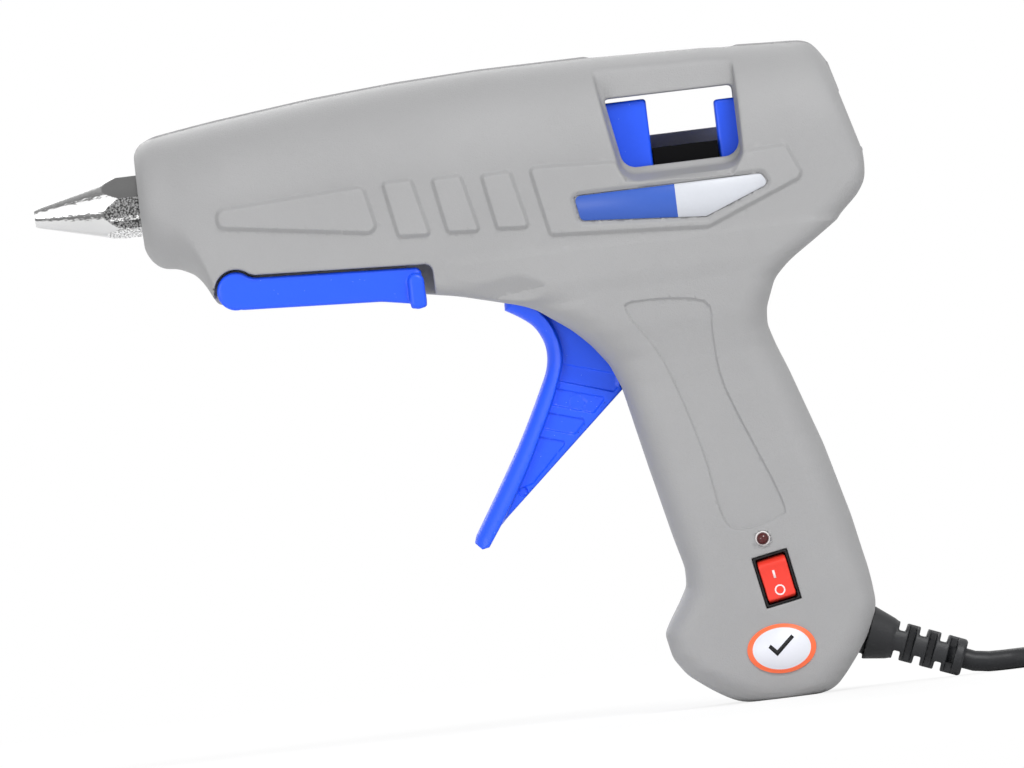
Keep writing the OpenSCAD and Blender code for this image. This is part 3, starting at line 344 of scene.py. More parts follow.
# Each station of the barrel is x, lean, underside, top, half width and corner radius.
barrel_stations = [
    [nose, 0, -10.6, 12, 12.4, 10.5], [nose + 1.2, 0, -13.4, 14.2, 14.8, 12.5],
    [nose + 3.7, 0, -15.4, crown(nose + 3.7), 16.2, 14], [nose + 7.5, 0, -15.9, crown(nose + 7.5), 17, 12],
    [nose + 11.3, 0, -17.8, crown(nose + 11.3), 18.2, 9],
    [nose + 13.8, 0, -21.2, crown(nose + 13.8), 18.8, 6],
    [nose + 15.4, 0, -25.5, crown(nose + 15.4), 19.2, 4], [nose + 20, 0, -25.5, crown(nose + 20), 20, 4],
    [-93.8, 0, -25.5, crown(-93.8), 20, 4], [-74.4, 0, -25.5, crown(-74.4), 20, 4],
    [-73.4, 0, -28.6, crown(-73.4), 20, 3], [-54, 0, -32.1, crown(-54), 20, 3],
    [-28, 0, -33, crown(-28), 20, 4], [0, 4, -33, crown(0), 20, 5],
    [6, 8, -32.6, 20.4, 20, 5], [11.5, 12, -28.1, 20.2, 20, 5],
    [19.5, 15, -22.7, 19.8, 19.8, 5], [26, 15, -18, 19.5, 19.2, 5], [28.2, 15, -15.8, 19.2, 18.6, 4],
    [30, 15, -13.4, 18.2, 17.8, 4], [30.9, 15, -10.2, 16.4, 16.6, 3], [barrel_end, 15, -7.6, 14, 15.4, 3],
]
# Each station of the grip is z, front, rear, half width and corner radius.
grip_stations = [
    [0, -9.4, 9.2, 14.2, 4], [1.1, -12.4, 12.2, 15.7, 5], [4, -17, 14.9, 16.6, 6], [8, -22.1, 18.1, 17, 6],
    [12.3, -25, 20.9, 17, 6], [18, -26.1, 23.5, 17, 6], [20.6, -24.7, 23.8, 17, 6],
    [25, -21.8, 23.4, 17, 6.5], [28.6, -19.7, 22.9, 16.9, 7], [33, -19.6, 22, 16.7, 7.5],
    [40.5, -21.5, 20.6, 16.3, 8], [58, -25.3, 16.2, 16.3, 8], [76.5, -29.1, 10.2, 16.3, 8],
    [82.7, -31.6, 7.9, 16.8, 9], [87.5, -35.1, 6.5, 17.8, 8], [91.5, -39, 6.8, 18.8, 7],
    [97.9, -47.6, 9.4, 19.6, 6], [102, -60, 13.4, 19.9, 5], [106, -68, 19, 19.9, 4],
    [grip_top, -68, 24.6, 19.8, 4],
]
barrel_t, barrel_values = blurred(barrel_stations, 1.5)
grip_t, grip_values = blurred(grip_stations, 1.75)
grip_slopes = [np.gradient(v, grip_t) for v in grip_values[:2]]


def widest(v, reach):
    """Largest value of the table within the reach of each place."""
    n = int(reach / station_step)
    padded = np.pad(v, n, "edge")
    return np.max([padded[i:i + len(v)] for i in range(2 * n + 1)], 0)


lean_of, low_of, high_of, half_of, corner_of = barrel_values
barrel_hollow = [lean_of, widest(low_of, 3), -widest(-high_of, 3), -widest(-half_of, 3), corner_of]


def soft_max(a, b, k):
    """Larger of two, with the corner between them rounded over a width k."""
    near = np.maximum(k - np.abs(a - b), 0) / k
    return np.maximum(a, b) + near * near * k / 4


def soft_min(a, b, k):
    """Smaller of two, with the corner between them filled over a width k."""
    return -soft_max(-a, -b, k)


def barrel_form(x, w, h, values):
    """Distance to the barrel: half an ellipse with a flat top, over walls that are upright below the eaves.
    The sections lean at the rear."""
    t = x
    for _ in range(2):
        t = x + np.tan(np.radians(np.interp(t, barrel_t, values[0]))) * h
    low, high, half, corner = [np.interp(t, barrel_t, v) for v in values[1:]]
    a, b = half - flat_half, high - eaves
    u, v = np.maximum(w - flat_half, 0) / a, np.maximum(h - eaves, 0) / b
    k0, k1 = np.hypot(u, v), np.hypot(u / a, v / b)
    dome = (k0 - 1) * np.where(k1 > 1e-9, k0 / np.maximum(k1, 1e-9), a)
    qw, qh = w - half + corner, low - h + corner
    wall = np.hypot(np.maximum(qw, 0), np.maximum(qh, 0)) + np.minimum(np.maximum(qw, qh), 0) - corner
    return soft_max(np.where(h > eaves, dome, wall), np.maximum(nose - x, t - barrel_end), 0.8)


def grip_form(x, w, z):
    """Distance to the grip: a rectangle with round corners at each height."""
    front, rear, half, corner = [np.interp(z, grip_t, v) for v in grip_values]
    steep = [np.hypot(1, np.interp(z, grip_t, s)) for s in grip_slopes]
    qx = np.where(x < (front + rear) / 2, (front - x) / steep[0], (x - rear) / steep[1])
    qx, qw = qx + corner, w - half + corner
    side = np.hypot(np.maximum(qx, 0), np.maximum(qw, 0)) + np.minimum(np.maximum(qx, qw), 0) - corner
    return soft_max(side, np.maximum(-z, z - grip_top), 0.8)


def outline_gap(px, pz, points):
    """Distance to a closed outline, less than 0 inside it."""
    p = np.asarray(points, float)
    nearest = np.full(px.shape, 1e9)
    inside = np.zeros(px.shape, bool)
    for a, b in zip(p, np.roll(p, -1, 0)):
        e = b - a
        dx, dz = px - a[0], pz - a[1]
        t = np.clip((dx * e[0] + dz * e[1]) / (e @ e), 0, 1)
        nearest = np.minimum(nearest, (dx - e[0] * t) ** 2 + (dz - e[1] * t) ** 2)
        if a[1] != b[1]:
            inside ^= ((a[1] <= pz) != (b[1] <= pz)) & (dx < e[0] * dz / e[1])
    return np.where(inside, -1, 1) * np.sqrt(nearest)


def drawn_in(points, r):
    """Outline moved inwards by r along both edges of each corner."""
    p = np.asarray(points, float)
    q = np.roll(p, -1, 0)
    e = q - p
    hand = np.sign(np.sum(p[:, 0] * q[:, 1] - q[:, 0] * p[:, 1]))
    n = hand * np.stack([-e[:, 1], e[:, 0]], 1) / np.linalg.norm(e, axis=1)[:, None]
    m = np.roll(n, 1, 0)
    return p + r * (m + n) / (1 + np.sum(m * n, 1))[:, None]


def rounded(px, pz, points, r):
    """Distance to an outline whose corners have the radius r."""
    return outline_gap(px, pz, drawn_in(points, r)) - r


def ramp(d, width):
    """1 inside, 0 outside, with a smooth slope of the width across the outline."""
    s = np.clip(0.5 - d / width, 0, 1)
    return s * s * (3 - 2 * s)


teardrop = [[-118.6, -3.4], [-83.8, -1.9], [-81.4, -13.3], [-118.6, -7.6]]
slat = np.array([[-79.2, -1.7], [-72.4, -1.6], [-69.4, -15.2], [-76.9, -14.6]])
big_panel = [
    [-44.6, -2.3], [-24, -3.4], [-22.3, -8], [2.6, -9.6], [5.4, -4.6],
    [15.7, -4.2], [18.7, -11.1], [17.7, -12.5], [-4.4, -21.1], [-41.5, -18.6],
]
plate = [[-35.3, -10.1], [9.4, -10], [11.1, -12.8], [-4.6, -18.8], [-34.3, -16.3]]
window_hole = [[-25.2, 11.5], [5, 11.4], [5, -5.2], [-22.4, -5.2]]
window_ledge = [[-27.6, 20.5], [5.6, 20], [5.3, -6.7], [-22.6, -6.7]]
window_rim = [[-28.5, 22], [6.2, 21.5], [5.6, -8.6], [-23.2, -8.6]]
grip_panel = [
    [-24.1, 96.6], [-7.8, 94.8], [-6.6, 86.7], [-5.2, 73.8], [4.6, 47], [3.4, 42.4],
    [-5.8, 40.5], [-9.6, 44.6], [-12.4, 60.6], [-18.8, 81.9], [-25.6, 93.4],
]
tab_bay = [[-77, -21.7], [-69.9, -21.7], [-69.9, -45], [-77, -45]]
arm_line = [[0, 4.5], [4.6, 2.7], [43.6, 0.4], [43.6, -7.5], [40.6, -7.9], [33.6, -6.6], [0, -4.5]]
slot_line = [
    [-41.5, -87.5], [-20, -50.2], [-25.6, -39.8], [-38, -29.4], [-51.5, -29.4],
    [-55.6, -33.5], [-55.6, -60], [-75, -95],
]
closed_panel = through(np.vstack([grip_panel[-1:], grip_panel, grip_panel[:2]]), 4)[4:-5]
screws = [[-99.5, 147.5], [-63, 148.5], [16, 147.6], [20, 118.8], [-62, 110.5], [-11, 60], [-13, 12]]
# Each rib is its x, its thickness and the radius of its seat.
ribs = [[-129, 2, 10.6], [-104.2, 2, 10.6], [-78.2, 2, 9.3], [-57.5, 3, 9.5]]
trigger_pin = (-44, -29)
stand_pin = (-116.2, -22.7)
lamp_at = (-0.8, 37.8)
switch_at = (1.3, 28.1)
switch_turn = np.radians(10)
turn_c, turn_s = np.cos(switch_turn), np.sin(switch_turn)


def window_gap(x, h, points, r):
    """Distance to a window outline of four points: round below, nearly square on its top line."""
    a, b, c, d = np.asarray(points, float)
    sides = rounded(x, h, [2 * a - d, 2 * b - c, c, d], r)
    return soft_max(sides, h - np.interp(x, [a[0], b[0]], [a[1], b[1]]), 1.2)


def from_pin(x, h, pin):
    """Distance from a pin's axis in the side view."""
    return np.hypot(x - pin[0], h - pin[1])


def arm_gap(x, h, swing):
    """Distance to the side view of the stand's arm, swung down about its pin."""
    dx, dh = x - stand_pin[0], h - stand_pin[1]
    c, s = np.cos(swing), np.sin(swing)
    along, upward = dx * c - dh * s, dx * s + dh * c
    return np.minimum(rounded(along, upward, arm_line, 1.5), np.hypot(along, upward) - 4.5)


def at_switch(x, z):
    """Place in the switch's own frame, which is turned with the butt."""
    dx, dz = x - switch_at[0], z - switch_at[1]
    return dx * turn_c + dz * turn_s, dz * turn_c - dx * turn_s


def along_relief(x, z):
    """Distance along the strain relief's falling axis from its root, and height square to that."""
    dx, dz = x - relief_root[0], z - relief_root[2]
    return dx * falling[0] + dz * falling[2], -dx * falling[2] + dz * falling[0]


def less(f, opening, edge):
    """Distance to a form less an opening, with the edge between them rounded."""
    return soft_max(f, -opening, edge)


def body_form(x, w, h, grip, values):
    """Distance to barrel and grip in one, with the barrel's lower sides cut back by a slanting plane."""
    slant = 0.54 * np.minimum(0.12 * x - 21.3 - h, 3.6)
    under = 0.84 * (w - 20) + slant - 6 * ramp(-42 - x, 20)
    return soft_max(soft_min(barrel_form(x, w, h, values), grip, 2.0), under, 0.5)


def shell_relief(x, w, h, z):
    """Heights on the outside: of the raised panels, of the bead at the joint, and of the grip's inset."""
    raised = np.minimum(rounded(x, h, teardrop, 1.9), rounded(x, h, big_panel, 1.2))
    for i in range(3):
        raised = np.minimum(raised, rounded(x, h, slat + [11.6 * i, -0.5 * i], 0.9))
    bead_ends = ramp(x + 27.9, 2) + ramp(6.6 - x, 2)
    bead = ramp(w - 1.5, 0.5) * bead_ends * ramp(-14 - h, 3) * ramp(nose + 4 - x, 4)
    inset = ramp(outline_gap(x, z, closed_panel), 0.55) * (w > 10)
    return 1.1 * ramp(raised, 1.25) * (w > 14), 0.4 * bead, 0.55 * inset


def shell_inside(x, w, h, z):
    """Distance to what stands inside the walls: screw bosses, ribs, crossbars under the trough and guide,
    the carriage's ledge, the spring's post and the bosses of the pins."""
    inner = np.full(len(x), 1e9)
    for sx, sz in screws:
        inner = np.minimum(inner, np.hypot(x - sx, z - sz) - np.where(w > 9.5, 4.2, 3.1))
    for rx, thick, seat in ribs:
        rib = np.maximum(np.abs(x - rx) - thick / 2, seat - np.hypot(w, h))
        inner = np.minimum(inner, np.maximum(rib, np.abs(h + 1) - 25))
    for bar_x in (-9.2, 9.3):
        inner = np.minimum(inner, np.maximum(np.abs(x - bar_x) - 1.5, np.abs(h + 18) - 2))
    ledge = np.maximum(np.abs(x + 21.5) - 7.5, np.maximum(np.abs(h + 17.3) - 1, 7.8 - w))
    spring_post = np.hypot(x + 16.6, h + 19.55) - 2
    trigger_boss = np.maximum(from_pin(x, h, trigger_pin) - 4.4, 12.4 - w)
    stand_boss = np.maximum(from_pin(x, h, stand_pin) - 3.5, 9 - w)
    for part in (ledge, spring_post, trigger_boss, stand_boss):
        inner = np.minimum(inner, part)
    return inner


def shell_form(p, side):
    """Distance to one shell: the outside, less the hollow round the inner parts, less every opening."""
    x, w, z = p[:, 0], p[:, 1] * side, p[:, 2]
    h = z - axis_h
    grip = grip_form(x, w, z)
    body, within = [body_form(x, w, h, grip, values) for values in (barrel_values, barrel_hollow)]
    panels, bead, inset = shell_relief(x, w, h, z)
    outside = body - panels - bead + inset

    # The hollow leaves a wall behind the window's scoop, the stand's pocket and the bay of its tab.
    ledge = window_gap(x, h, window_ledge, 4)
    floor = 12.1 - 1.5 * np.clip((h - 10.5) / 8, 0, 1)
    arm = arm_gap(x, h, 0)
    bay = rounded(x, h, tab_bay, 2)
    inner = np.minimum(shell_inside(x, w, h, z), np.maximum(ledge - 3.0, floor - 1.8 - w))
    inner = np.minimum(inner, np.maximum(arm - shell_wall, 11.8 - w))
    inner = np.minimum(inner, np.maximum(bay - shell_wall, 1.4 - w))
    ends = np.maximum(6 - z, x + 0.268 * h - 27)
    hollow = np.maximum(np.maximum(within + shell_wall, nose + 4.5 - x), ends)
    f = np.maximum(outside, np.minimum(-hollow, inner))

    # Openings of both shells. The scoop widens from the ledge at its floor to the rim at the outside.
    depth = np.clip((w - floor) / 8.9, -0.2, 1.3)
    scoop = soft_max(ledge * (1 - depth) + window_gap(x, h, window_rim, 5) * depth, floor - w, 1.4)
    hole = window_gap(x, h, window_hole, 3.6)
    if side > 0:
        hole = soft_max(hole, 2.0 - h, 1.0)
    pocket = np.maximum(np.minimum(arm, arm_gap(x, h, np.pi / 2)) - 0.6, 14.0 - w)
    pocket = np.minimum(pocket, np.maximum(bay, 3.6 - w))
    slot = np.maximum(outline_gap(x, h, slot_line), w - 8)
    nozzle_hole = np.maximum(np.hypot(w, h) - 8.6, x - nose - 7)
    stick_hole = np.maximum(np.hypot(w, h) - 6.5, 22.4 - x)
    run, off = along_relief(x, z)
    relief_hole = np.maximum(np.hypot(w, off) - 5.3, np.abs(run - 2) - 11)
    f = less(less(less(f, scoop, 0.9), hole, 0.6), pocket, 0.6)
    for opening in (slot, nozzle_hole, stick_hole):
        f = less(f, opening, 0.8)
    f = less(f, relief_hole, 0.5)
    heater = np.maximum(np.abs(x + 108.4) - 16.2, np.maximum(w - 10.2, np.abs(h + 11.9) - 6.8))
    heater_room = np.maximum(heater, within + 1.2)
    trigger_bore = np.maximum(from_pin(x, h, trigger_pin) - 2.05, w - 17.2)
    stand_bore = np.maximum(from_pin(x, h, stand_pin) - 1.55, w - 15)
    for room in (heater_room, trigger_bore, stand_bore):
        f = np.maximum(f, -room)

    # The right shell has the screw holes, the left one the places of the label, switch and lamp.
    if side > 0:
        for sx, sz in screws:
            half = 16 if sz < 100 else 19.9 if sz < 132 else 14.6
            f = less(f, np.maximum(np.hypot(x - sx, z - sz) - 2.95, half - 5 - w), 0.3)
    else:
        label = np.maximum(rounded(x, h, plate, 1.3) - 1.2 * np.maximum(w - 20.3, 0), 20.05 - w)
        u, v = at_switch(x, z)
        switch_hole = np.maximum(np.maximum(np.abs(u) - 4.3, np.abs(v) - 6.15), 7 - w)
        f = less(less(f, label, 0.25), switch_hole, 0.3)
        from_lamp = np.hypot(x - lamp_at[0], z - lamp_at[1])
        f = f - 0.35 * ramp(np.abs(from_lamp - 1.9) - 0.2, 0.4) * (w > 14)
        f = less(f, np.maximum(from_lamp - 1.6, 12.6 - w), 0.2)
    return soft_max(f, 0.04 - w, 0.3)


def slope(form, p):
    """Gradient of a distance, from four points round each one."""
    reach = 0.02
    ways = np.array([[1, -1, -1], [-1, -1, 1], [-1, 1, -1], [1, 1, 1]], float)
    return sum(way * form(p + reach * way)[:, None] for way in ways) / (4 * reach)


def settled(form, p, rounds):
    """Points moved along the gradient until the distance is 0, by Newton's rule."""
    longest_step = 0.6
    for _ in range(rounds):
        g = slope(form, p)
        step = (form(p) / np.maximum(np.sum(g * g, 1), 0.05))[:, None] * g
        size = np.linalg.norm(step, axis=1)[:, None]
        p = p - step * np.minimum(1, longest_step / np.maximum(size, 1e-9))
    return p


def net(form, low, high, cell):
    """Surface net: one point in each cell that the surface crosses, the mean of its crossings of the
    cell's edges, and a pair of triangles round each crossed edge."""
    axes = [np.arange(a, b + cell, cell) for a, b in zip(low, high)]
    corners = np.stack(np.meshgrid(*axes, indexing="ij"), -1)
    values = form(corners.reshape(-1, 3)).reshape(corners.shape[:3])
    n = np.array(values.shape)
    total, count = np.zeros(tuple(n - 1) + (3,)), np.zeros(tuple(n - 1))
    crossings = []
    for ax in range(3):
        order = (ax, (ax + 1) % 3, (ax + 2) % 3)
        v = np.moveaxis(values, order, (0, 1, 2))
        i, j, k = np.nonzero((v[:-1] < 0) != (v[1:] < 0))
        a, b = v[:-1][i, j, k], v[1:][i, j, k]
        spot = np.empty((len(i), 3))
        spot[:, order[0]], spot[:, order[1]], spot[:, order[2]] = i + a / (a - b), j, k
        sums, counts = np.moveaxis(total, order, (0, 1, 2)), np.moveaxis(count, order, (0, 1, 2))
        for dj in (0, 1):
            for dk in (0, 1):
                np.add.at(sums, (i, j - dj, k - dk), spot)
                np.add.at(counts, (i, j - dj, k - dk), 1)
        crossings.append((order, i, j, k, a < 0))
    used = count > 0
    ids = np.full(count.shape, -1)
    ids[used] = np.arange(used.sum())
    points = np.asarray(low, float) + cell * total[used] / count[used][:, None]
    quads = []
    for order, i, j, k, outwards in crossings:
        m = np.moveaxis(ids, order, (0, 1, 2))
        quad = np.stack([m[i, j - 1, k - 1], m[i, j, k - 1], m[i, j, k], m[i, j - 1, k]], 1)
        quads.append(np.where(outwards[:, None], quad, quad[:, ::-1]))
    quads = np.vstack(quads)
    q = points[quads]
    short = np.linalg.norm(q[:, 0] - q[:, 2], axis=1) <= np.linalg.norm(q[:, 1] - q[:, 3], axis=1)
    one = np.where(short[:, None], quads[:, [0, 1, 2]], quads[:, [0, 1, 3]])
    two = np.where(short[:, None], quads[:, [0, 2, 3]], quads[:, [1, 2, 3]])
    return points, np.vstack([one, two])


def finer(form, p, t, shortest, off):
    """Triangles split at the middle of each edge that strays from the surface by more than off."""
    ends = np.sort(t[:, [0, 1, 1, 2, 2, 0]].reshape(-1, 3, 2), axis=2)
    keys, which = np.unique(ends[..., 0] * len(p) + ends[..., 1], return_inverse=True)
    which = which.reshape(-1, 3)
    edges = np.stack([keys // len(p), keys % len(p)], 1)
    middle = p[edges].mean(1)
    long = np.linalg.norm(p[edges[:, 0]] - p[edges[:, 1]], axis=1) > shortest
    marked = np.zeros(len(edges), bool)
    marked[long] = np.abs(form(middle[long])) > off
    new = np.full(len(edges), -1)
    new[marked] = len(p) + np.arange(marked.sum())
    m = new[which]
    number = (m >= 0).sum(1)
    first = np.where(number == 1, np.argmax(m >= 0, 1), (np.argmin(m >= 0, 1) + 1) % 3)
    turned = (first[:, None] + np.arange(3)) % 3
    a, b, c = np.take_along_axis(t, turned, 1).T
    d, e, f = np.take_along_axis(m, turned, 1).T
    made = [t[number == 0]]
    s = number == 1
    made += [np.stack(x, 1)[s] for x in ((a, d, c), (d, b, c))]
    s = number == 2
    made += [np.stack(x, 1)[s] for x in ((d, b, e), (a, d, e), (a, e, c))]
    s = number == 3
    made += [np.stack(x, 1)[s] for x in ((a, d, f), (d, b, e), (f, e, c), (d, e, f))]
    return np.vstack([p, settled(form, middle[marked], 2)]), np.vstack(made)


def skin(name, form, low, high, cell, fine, body, finish, replaced):
    """Piece whose surface is where the distance form is 0: a net, settled, evened out and made finer."""
    p, t = net(form, low, high, cell)
    p = settled(form, p, 2)
    for _ in range(2):
        ends = t[:, [0, 1, 1, 2, 2, 0]].reshape(-1, 2)
        number = np.bincount(ends[:, 0], minlength=len(p))
        mean = np.stack([np.bincount(ends[:, 0], p[ends[:, 1], c], len(p)) for c in range(3)], 1)
        p = settled(form, p + 0.5 * (mean / np.maximum(number, 1)[:, None] - p), 2)
    stray = 0.025
    for shortest in fine:
        p, t = finer(form, p, t, shortest, stray)
    normal = slope(form, p)
    normal /= np.maximum(np.linalg.norm(normal, axis=1), 1e-9)[:, None]
    mesh = bpy.data.meshes.new(name)
    mesh.vertices.add(len(p))
    mesh.vertices.foreach_set("co", (p * 0.001).ravel())
    mesh.loops.add(3 * len(t))
    mesh.loops.foreach_set("vertex_index", t.ravel())
    mesh.polygons.add(len(t))
    mesh.polygons.foreach_set("loop_start", np.arange(0, 3 * len(t), 3))
    mesh.polygons.foreach_set("use_smooth", np.ones(len(t), bool))
    mesh.update(calc_edges=True)
    mesh.normals_split_custom_set_from_vertices(normal)
    return piece(name, mesh, body, finish, replaced)


housing_grey = moulded("housing_grey", linear(153, 153, 154), 0.55, 2600, 0.14, 0.00008, shine=0.4)
shell_cell = 1.25
shell_fine = (0.7, 0.4, 0.25)
skin("shell_left", lambda p: shell_form(p, -1), (-138, -22.4, -1.5), (37, 1.5, 158),
     shell_cell, shell_fine, "gun", housing_grey, ["left_shell"])
skin("shell_right", lambda p: shell_form(p, 1), (-138, -1.5, -1.5), (37, 22.4, 158),
     shell_cell, shell_fine, "gun", housing_grey, ["right_shell"])

# Nozzle: a turned cone of bright metal whose rear is cut to a hexagon for a spanner. The cone and the
# flats are one surface, the smaller of the two radii at each angle, and its thread goes into the chamber.
nozzle_tip = -161.2
nozzle_long = 28.7
nozzle_r = 7.89
nozzle_flat = 6.4
thread_r = 4.9


def nozzle_grid():
    """Rings r(a, s) along the axis: the bore, the lip, min(cone, hexagon), the chamfer and the thread.
    The hexagon has r = flat / cos(a) within 30 degrees of the middle of each flat."""
    a = np.radians(np.arange(0, 360, 2.0))
    flat = np.mod(a + np.radians(18.5), np.pi / 3) - np.pi / 6
    hexagon = nozzle_flat / np.cos(flat)
    s = np.concatenate([np.arange(0.4, 16, 0.8), np.arange(16, 27.5, 0.25)])
    cone = np.interp(s, [0.4, 21.8, nozzle_long], [2.3, nozzle_r, nozzle_r])
    main = np.minimum(cone[:, None], hexagon[None])
    bore = [(5, 1.0), (0.2, 1.0), (0, 1.2), (0, 2.0)]
    place = [q for q, _ in bore] + s.tolist() + [nozzle_long, nozzle_long, 38, 38.8]
    ring = [np.full(len(a), r) for _, r in bore] + list(main) + [main[-1] - 1.2]
    ring += [np.full(len(a), r) for r in (thread_r, thread_r, thread_r - 0.8)]
    r = np.array(ring)
    x = np.repeat(np.array(place)[:, None] + nozzle_tip, len(a), 1)
    on_flat = cone[:, None] > hexagon[None] + 0.05
    facet = np.concatenate([np.zeros((4, len(a))), on_flat, np.ones((4, len(a)))])
    level = np.repeat(0.5 + 0.5 * np.sin(a)[None], len(r), 0)
    return np.stack([x, r * np.cos(a), axis_h + r * np.sin(a)], -1), facet, level


def tones(tree, share, steps):
    """Colour ramp of grey tones at places from 0 to 1 of the share."""
    made = node(tree, "ValToRGB", {"Fac": share})
    marks = made.color_ramp.elements
    for spot, _ in steps[1:-1]:
        marks.new(spot)
    for mark, (_, tone) in zip(marks, steps):
        mark.color = (tone, tone, tone, 1)
    return made.outputs["Color"]


def two_tone(tree, share, first, second):
    """First and second colour in place of the material's own one, by the share of the second."""
    both = node(tree, "Mix", {"Factor": share, "A": first, "B": second}, data_type="RGBA")
    tree.links.new(both.outputs["Result"], tree.nodes["Mix"].inputs["A"])


nozzle_points, nozzle_facet, nozzle_level = nozzle_grid()
bright_metal = moulded("bright_metal", linear(205, 205, 208), 0.26, 1500, 0.3, 0.00003, metal=1.0)
tree = bright_metal.node_tree
place = node(tree, "TexCoord", {}).outputs["Object"]
level = node(tree, "Attribute", {}, attribute_name="level").outputs["Fac"]
facet = node(tree, "Attribute", {}, attribute_name="facet").outputs["Fac"]
drawn = node(tree, "Mapping", {"Vector": place, "Scale": (600, 2600, 2600)})
streak = node(tree, "TexNoise", {"Vector": drawn.outputs["Vector"], "Scale": 1.0, "Detail": 4.0})
unsteady = node(tree, "Math", {0: streak.outputs["Fac"], 1: 0.24, 2: level}, operation="MULTIPLY_ADD")
# Painted reflections: the colour is banded by the height round the axis. The cone is light grey below, then
# a dark line, a white highlight band and a dark top. The flats are pale at the bottom and dark above, with
# one thin pale line.
cone_reflection_bands = tones(tree, unsteady.outputs[0], [
    (0.0, 0.66), (0.45, 0.72), (0.49, 0.16), (0.57, 0.16),
    (0.62, 1.0), (0.86, 1.0), (0.91, 0.2), (1.0, 0.3),
])
flats = tones(tree, unsteady.outputs[0], [
    (0.0, 0.6), (0.23, 0.55), (0.3, 0.13), (0.4, 0.13),
    (0.43, 0.5), (0.46, 0.13), (0.76, 0.15), (1.0, 0.17),
])
pitted = node(tree, "TexNoise", {"Vector": place, "Scale": 2300.0})
pit_range = {"From Min": 0.4, "From Max": 0.62, "To Min": 0.3, "To Max": 2.6}
pits = node(tree, "MapRange", {"Value": pitted.outputs["Fac"], **pit_range})
# Pits mottle the painted reflections on the lower flats.
lower = node(tree, "Math", {0: level, 1: 0.66}, operation="LESS_THAN")
pitted_reflection_mix = {"Factor": lower.outputs[0], "A": flats, "B": pits.outputs["Result"]}
pitted_flat_reflections = node(tree, "Mix", pitted_reflection_mix, data_type="RGBA", blend_type="MULTIPLY")
two_tone(tree, facet, cone_reflection_bands, pitted_flat_reflections.outputs["Result"])
nozzle_skin = surface("nozzle_skin", nozzle_points, "gun", bright_metal, ["nozzle"])
nozzle_skin.data.set_sharp_from_angle(angle=np.radians(24))
for name, values in (("facet", nozzle_facet), ("level", nozzle_level)):
    marked = nozzle_skin.data.attributes.new(name, "FLOAT", "POINT")
    marked.data.foreach_set("value", values.ravel().astype(float))

# Trigger: one moulding of blue plastic. The finger face is rounded in front, the web behind it has four
# sunken panels and two marks of the mould, and the hub with its fork turns on the steel pin.
blue_plastic = moulded("blue_plastic", linear(28, 86, 242), 0.38, 1600, 0.15, 0.00002, shine=0.4)
tree = blue_plastic.node_tree
place = node(tree, "TexCoord", {})
spots = node(tree, "TexVoronoi", {"Vector": place.outputs["Object"], "Scale": 600.0})
few = node(tree, "Math", {0: spots.outputs["Distance"], 1: 0.04}, operation="LESS_THAN")
plain_blue = tree.nodes["Mix"].outputs["Result"]
pale_specks = {"Factor": few.outputs[0], "A": plain_blue, "B": linear(150, 185, 255)}
speckled = node(tree, "Mix", pale_specks, data_type="RGBA")
tree.links.new(speckled.outputs["Result"], tree.nodes["Principled BSDF"].inputs["Base Color"])

finger_front = [
    [-54.3, -34.9], [-50.9, -37], [-47.9, -39.6], [-46.1, -43.2], [-45.7, -46.4],
    [-46.3, -49.8], [-48.1, -53.8], [-53.4, -64], [-59.5, -74.2], [-67.4, -86.6],
]
finger_back = [
    [-60.8, -84.2], [-54, -73.2], [-49.4, -64.5], [-46.2, -58.3], [-43.8, -52.6],
    [-42.6, -49.2], [-42.2, -46.6], [-42.5, -43.6], [-43.4, -40.6], [-45.2, -37.2],
    [-48.6, -33.6], [-51.4, -31.8], [-54.1, -31.6],
]
finger_tip = [[-67.9, -88.2], [-66.3, -89.9], [-64.6, -89.6]]
front_line = through(finger_front, 4)
finger_line = np.vstack([front_line, finger_tip, through(finger_back, 4)])
behind_front = np.vstack([front_line, [[-70, -95], [-20, -95], [-20, -25], [-54, -25]]])
web_line = [
    [-60.8, -84.3], [-29, -56.5], [-31.5, -46], [-38.4, -30],
    [-48.6, -30], [-49.6, -35], [-44, -42], [-44, -53.6],
]
web_panels = [
    [[-52.8, -64.4], [-43.6, -67.2], [-52.7, -76], [-58.2, -77.4]],
    [[-50.4, -58.9], [-38.4, -62.6], [-41.5, -65.7], [-51.7, -62.6]],
    [[-47.6, -53.6], [-33.2, -58], [-36.5, -61.3], [-49.3, -57.1]],
    [[-45.7, -47.9], [-29.9, -52.8], [-29.9, -55.8], [-31.3, -56.9], [-47.2, -51.6]],
]
fork_line = [[-5, 2], [-4.4, 12], [-4.4, 33], [4.4, 33], [4.4, 12], [5, 2], [0, -3]]
fork_turn = np.radians(10)
finger_half = 7.5
web_half = 5.3
lug_line = [[-4, 3], [-2.4, 11.4], [2.4, 11.4], [4, 3]]


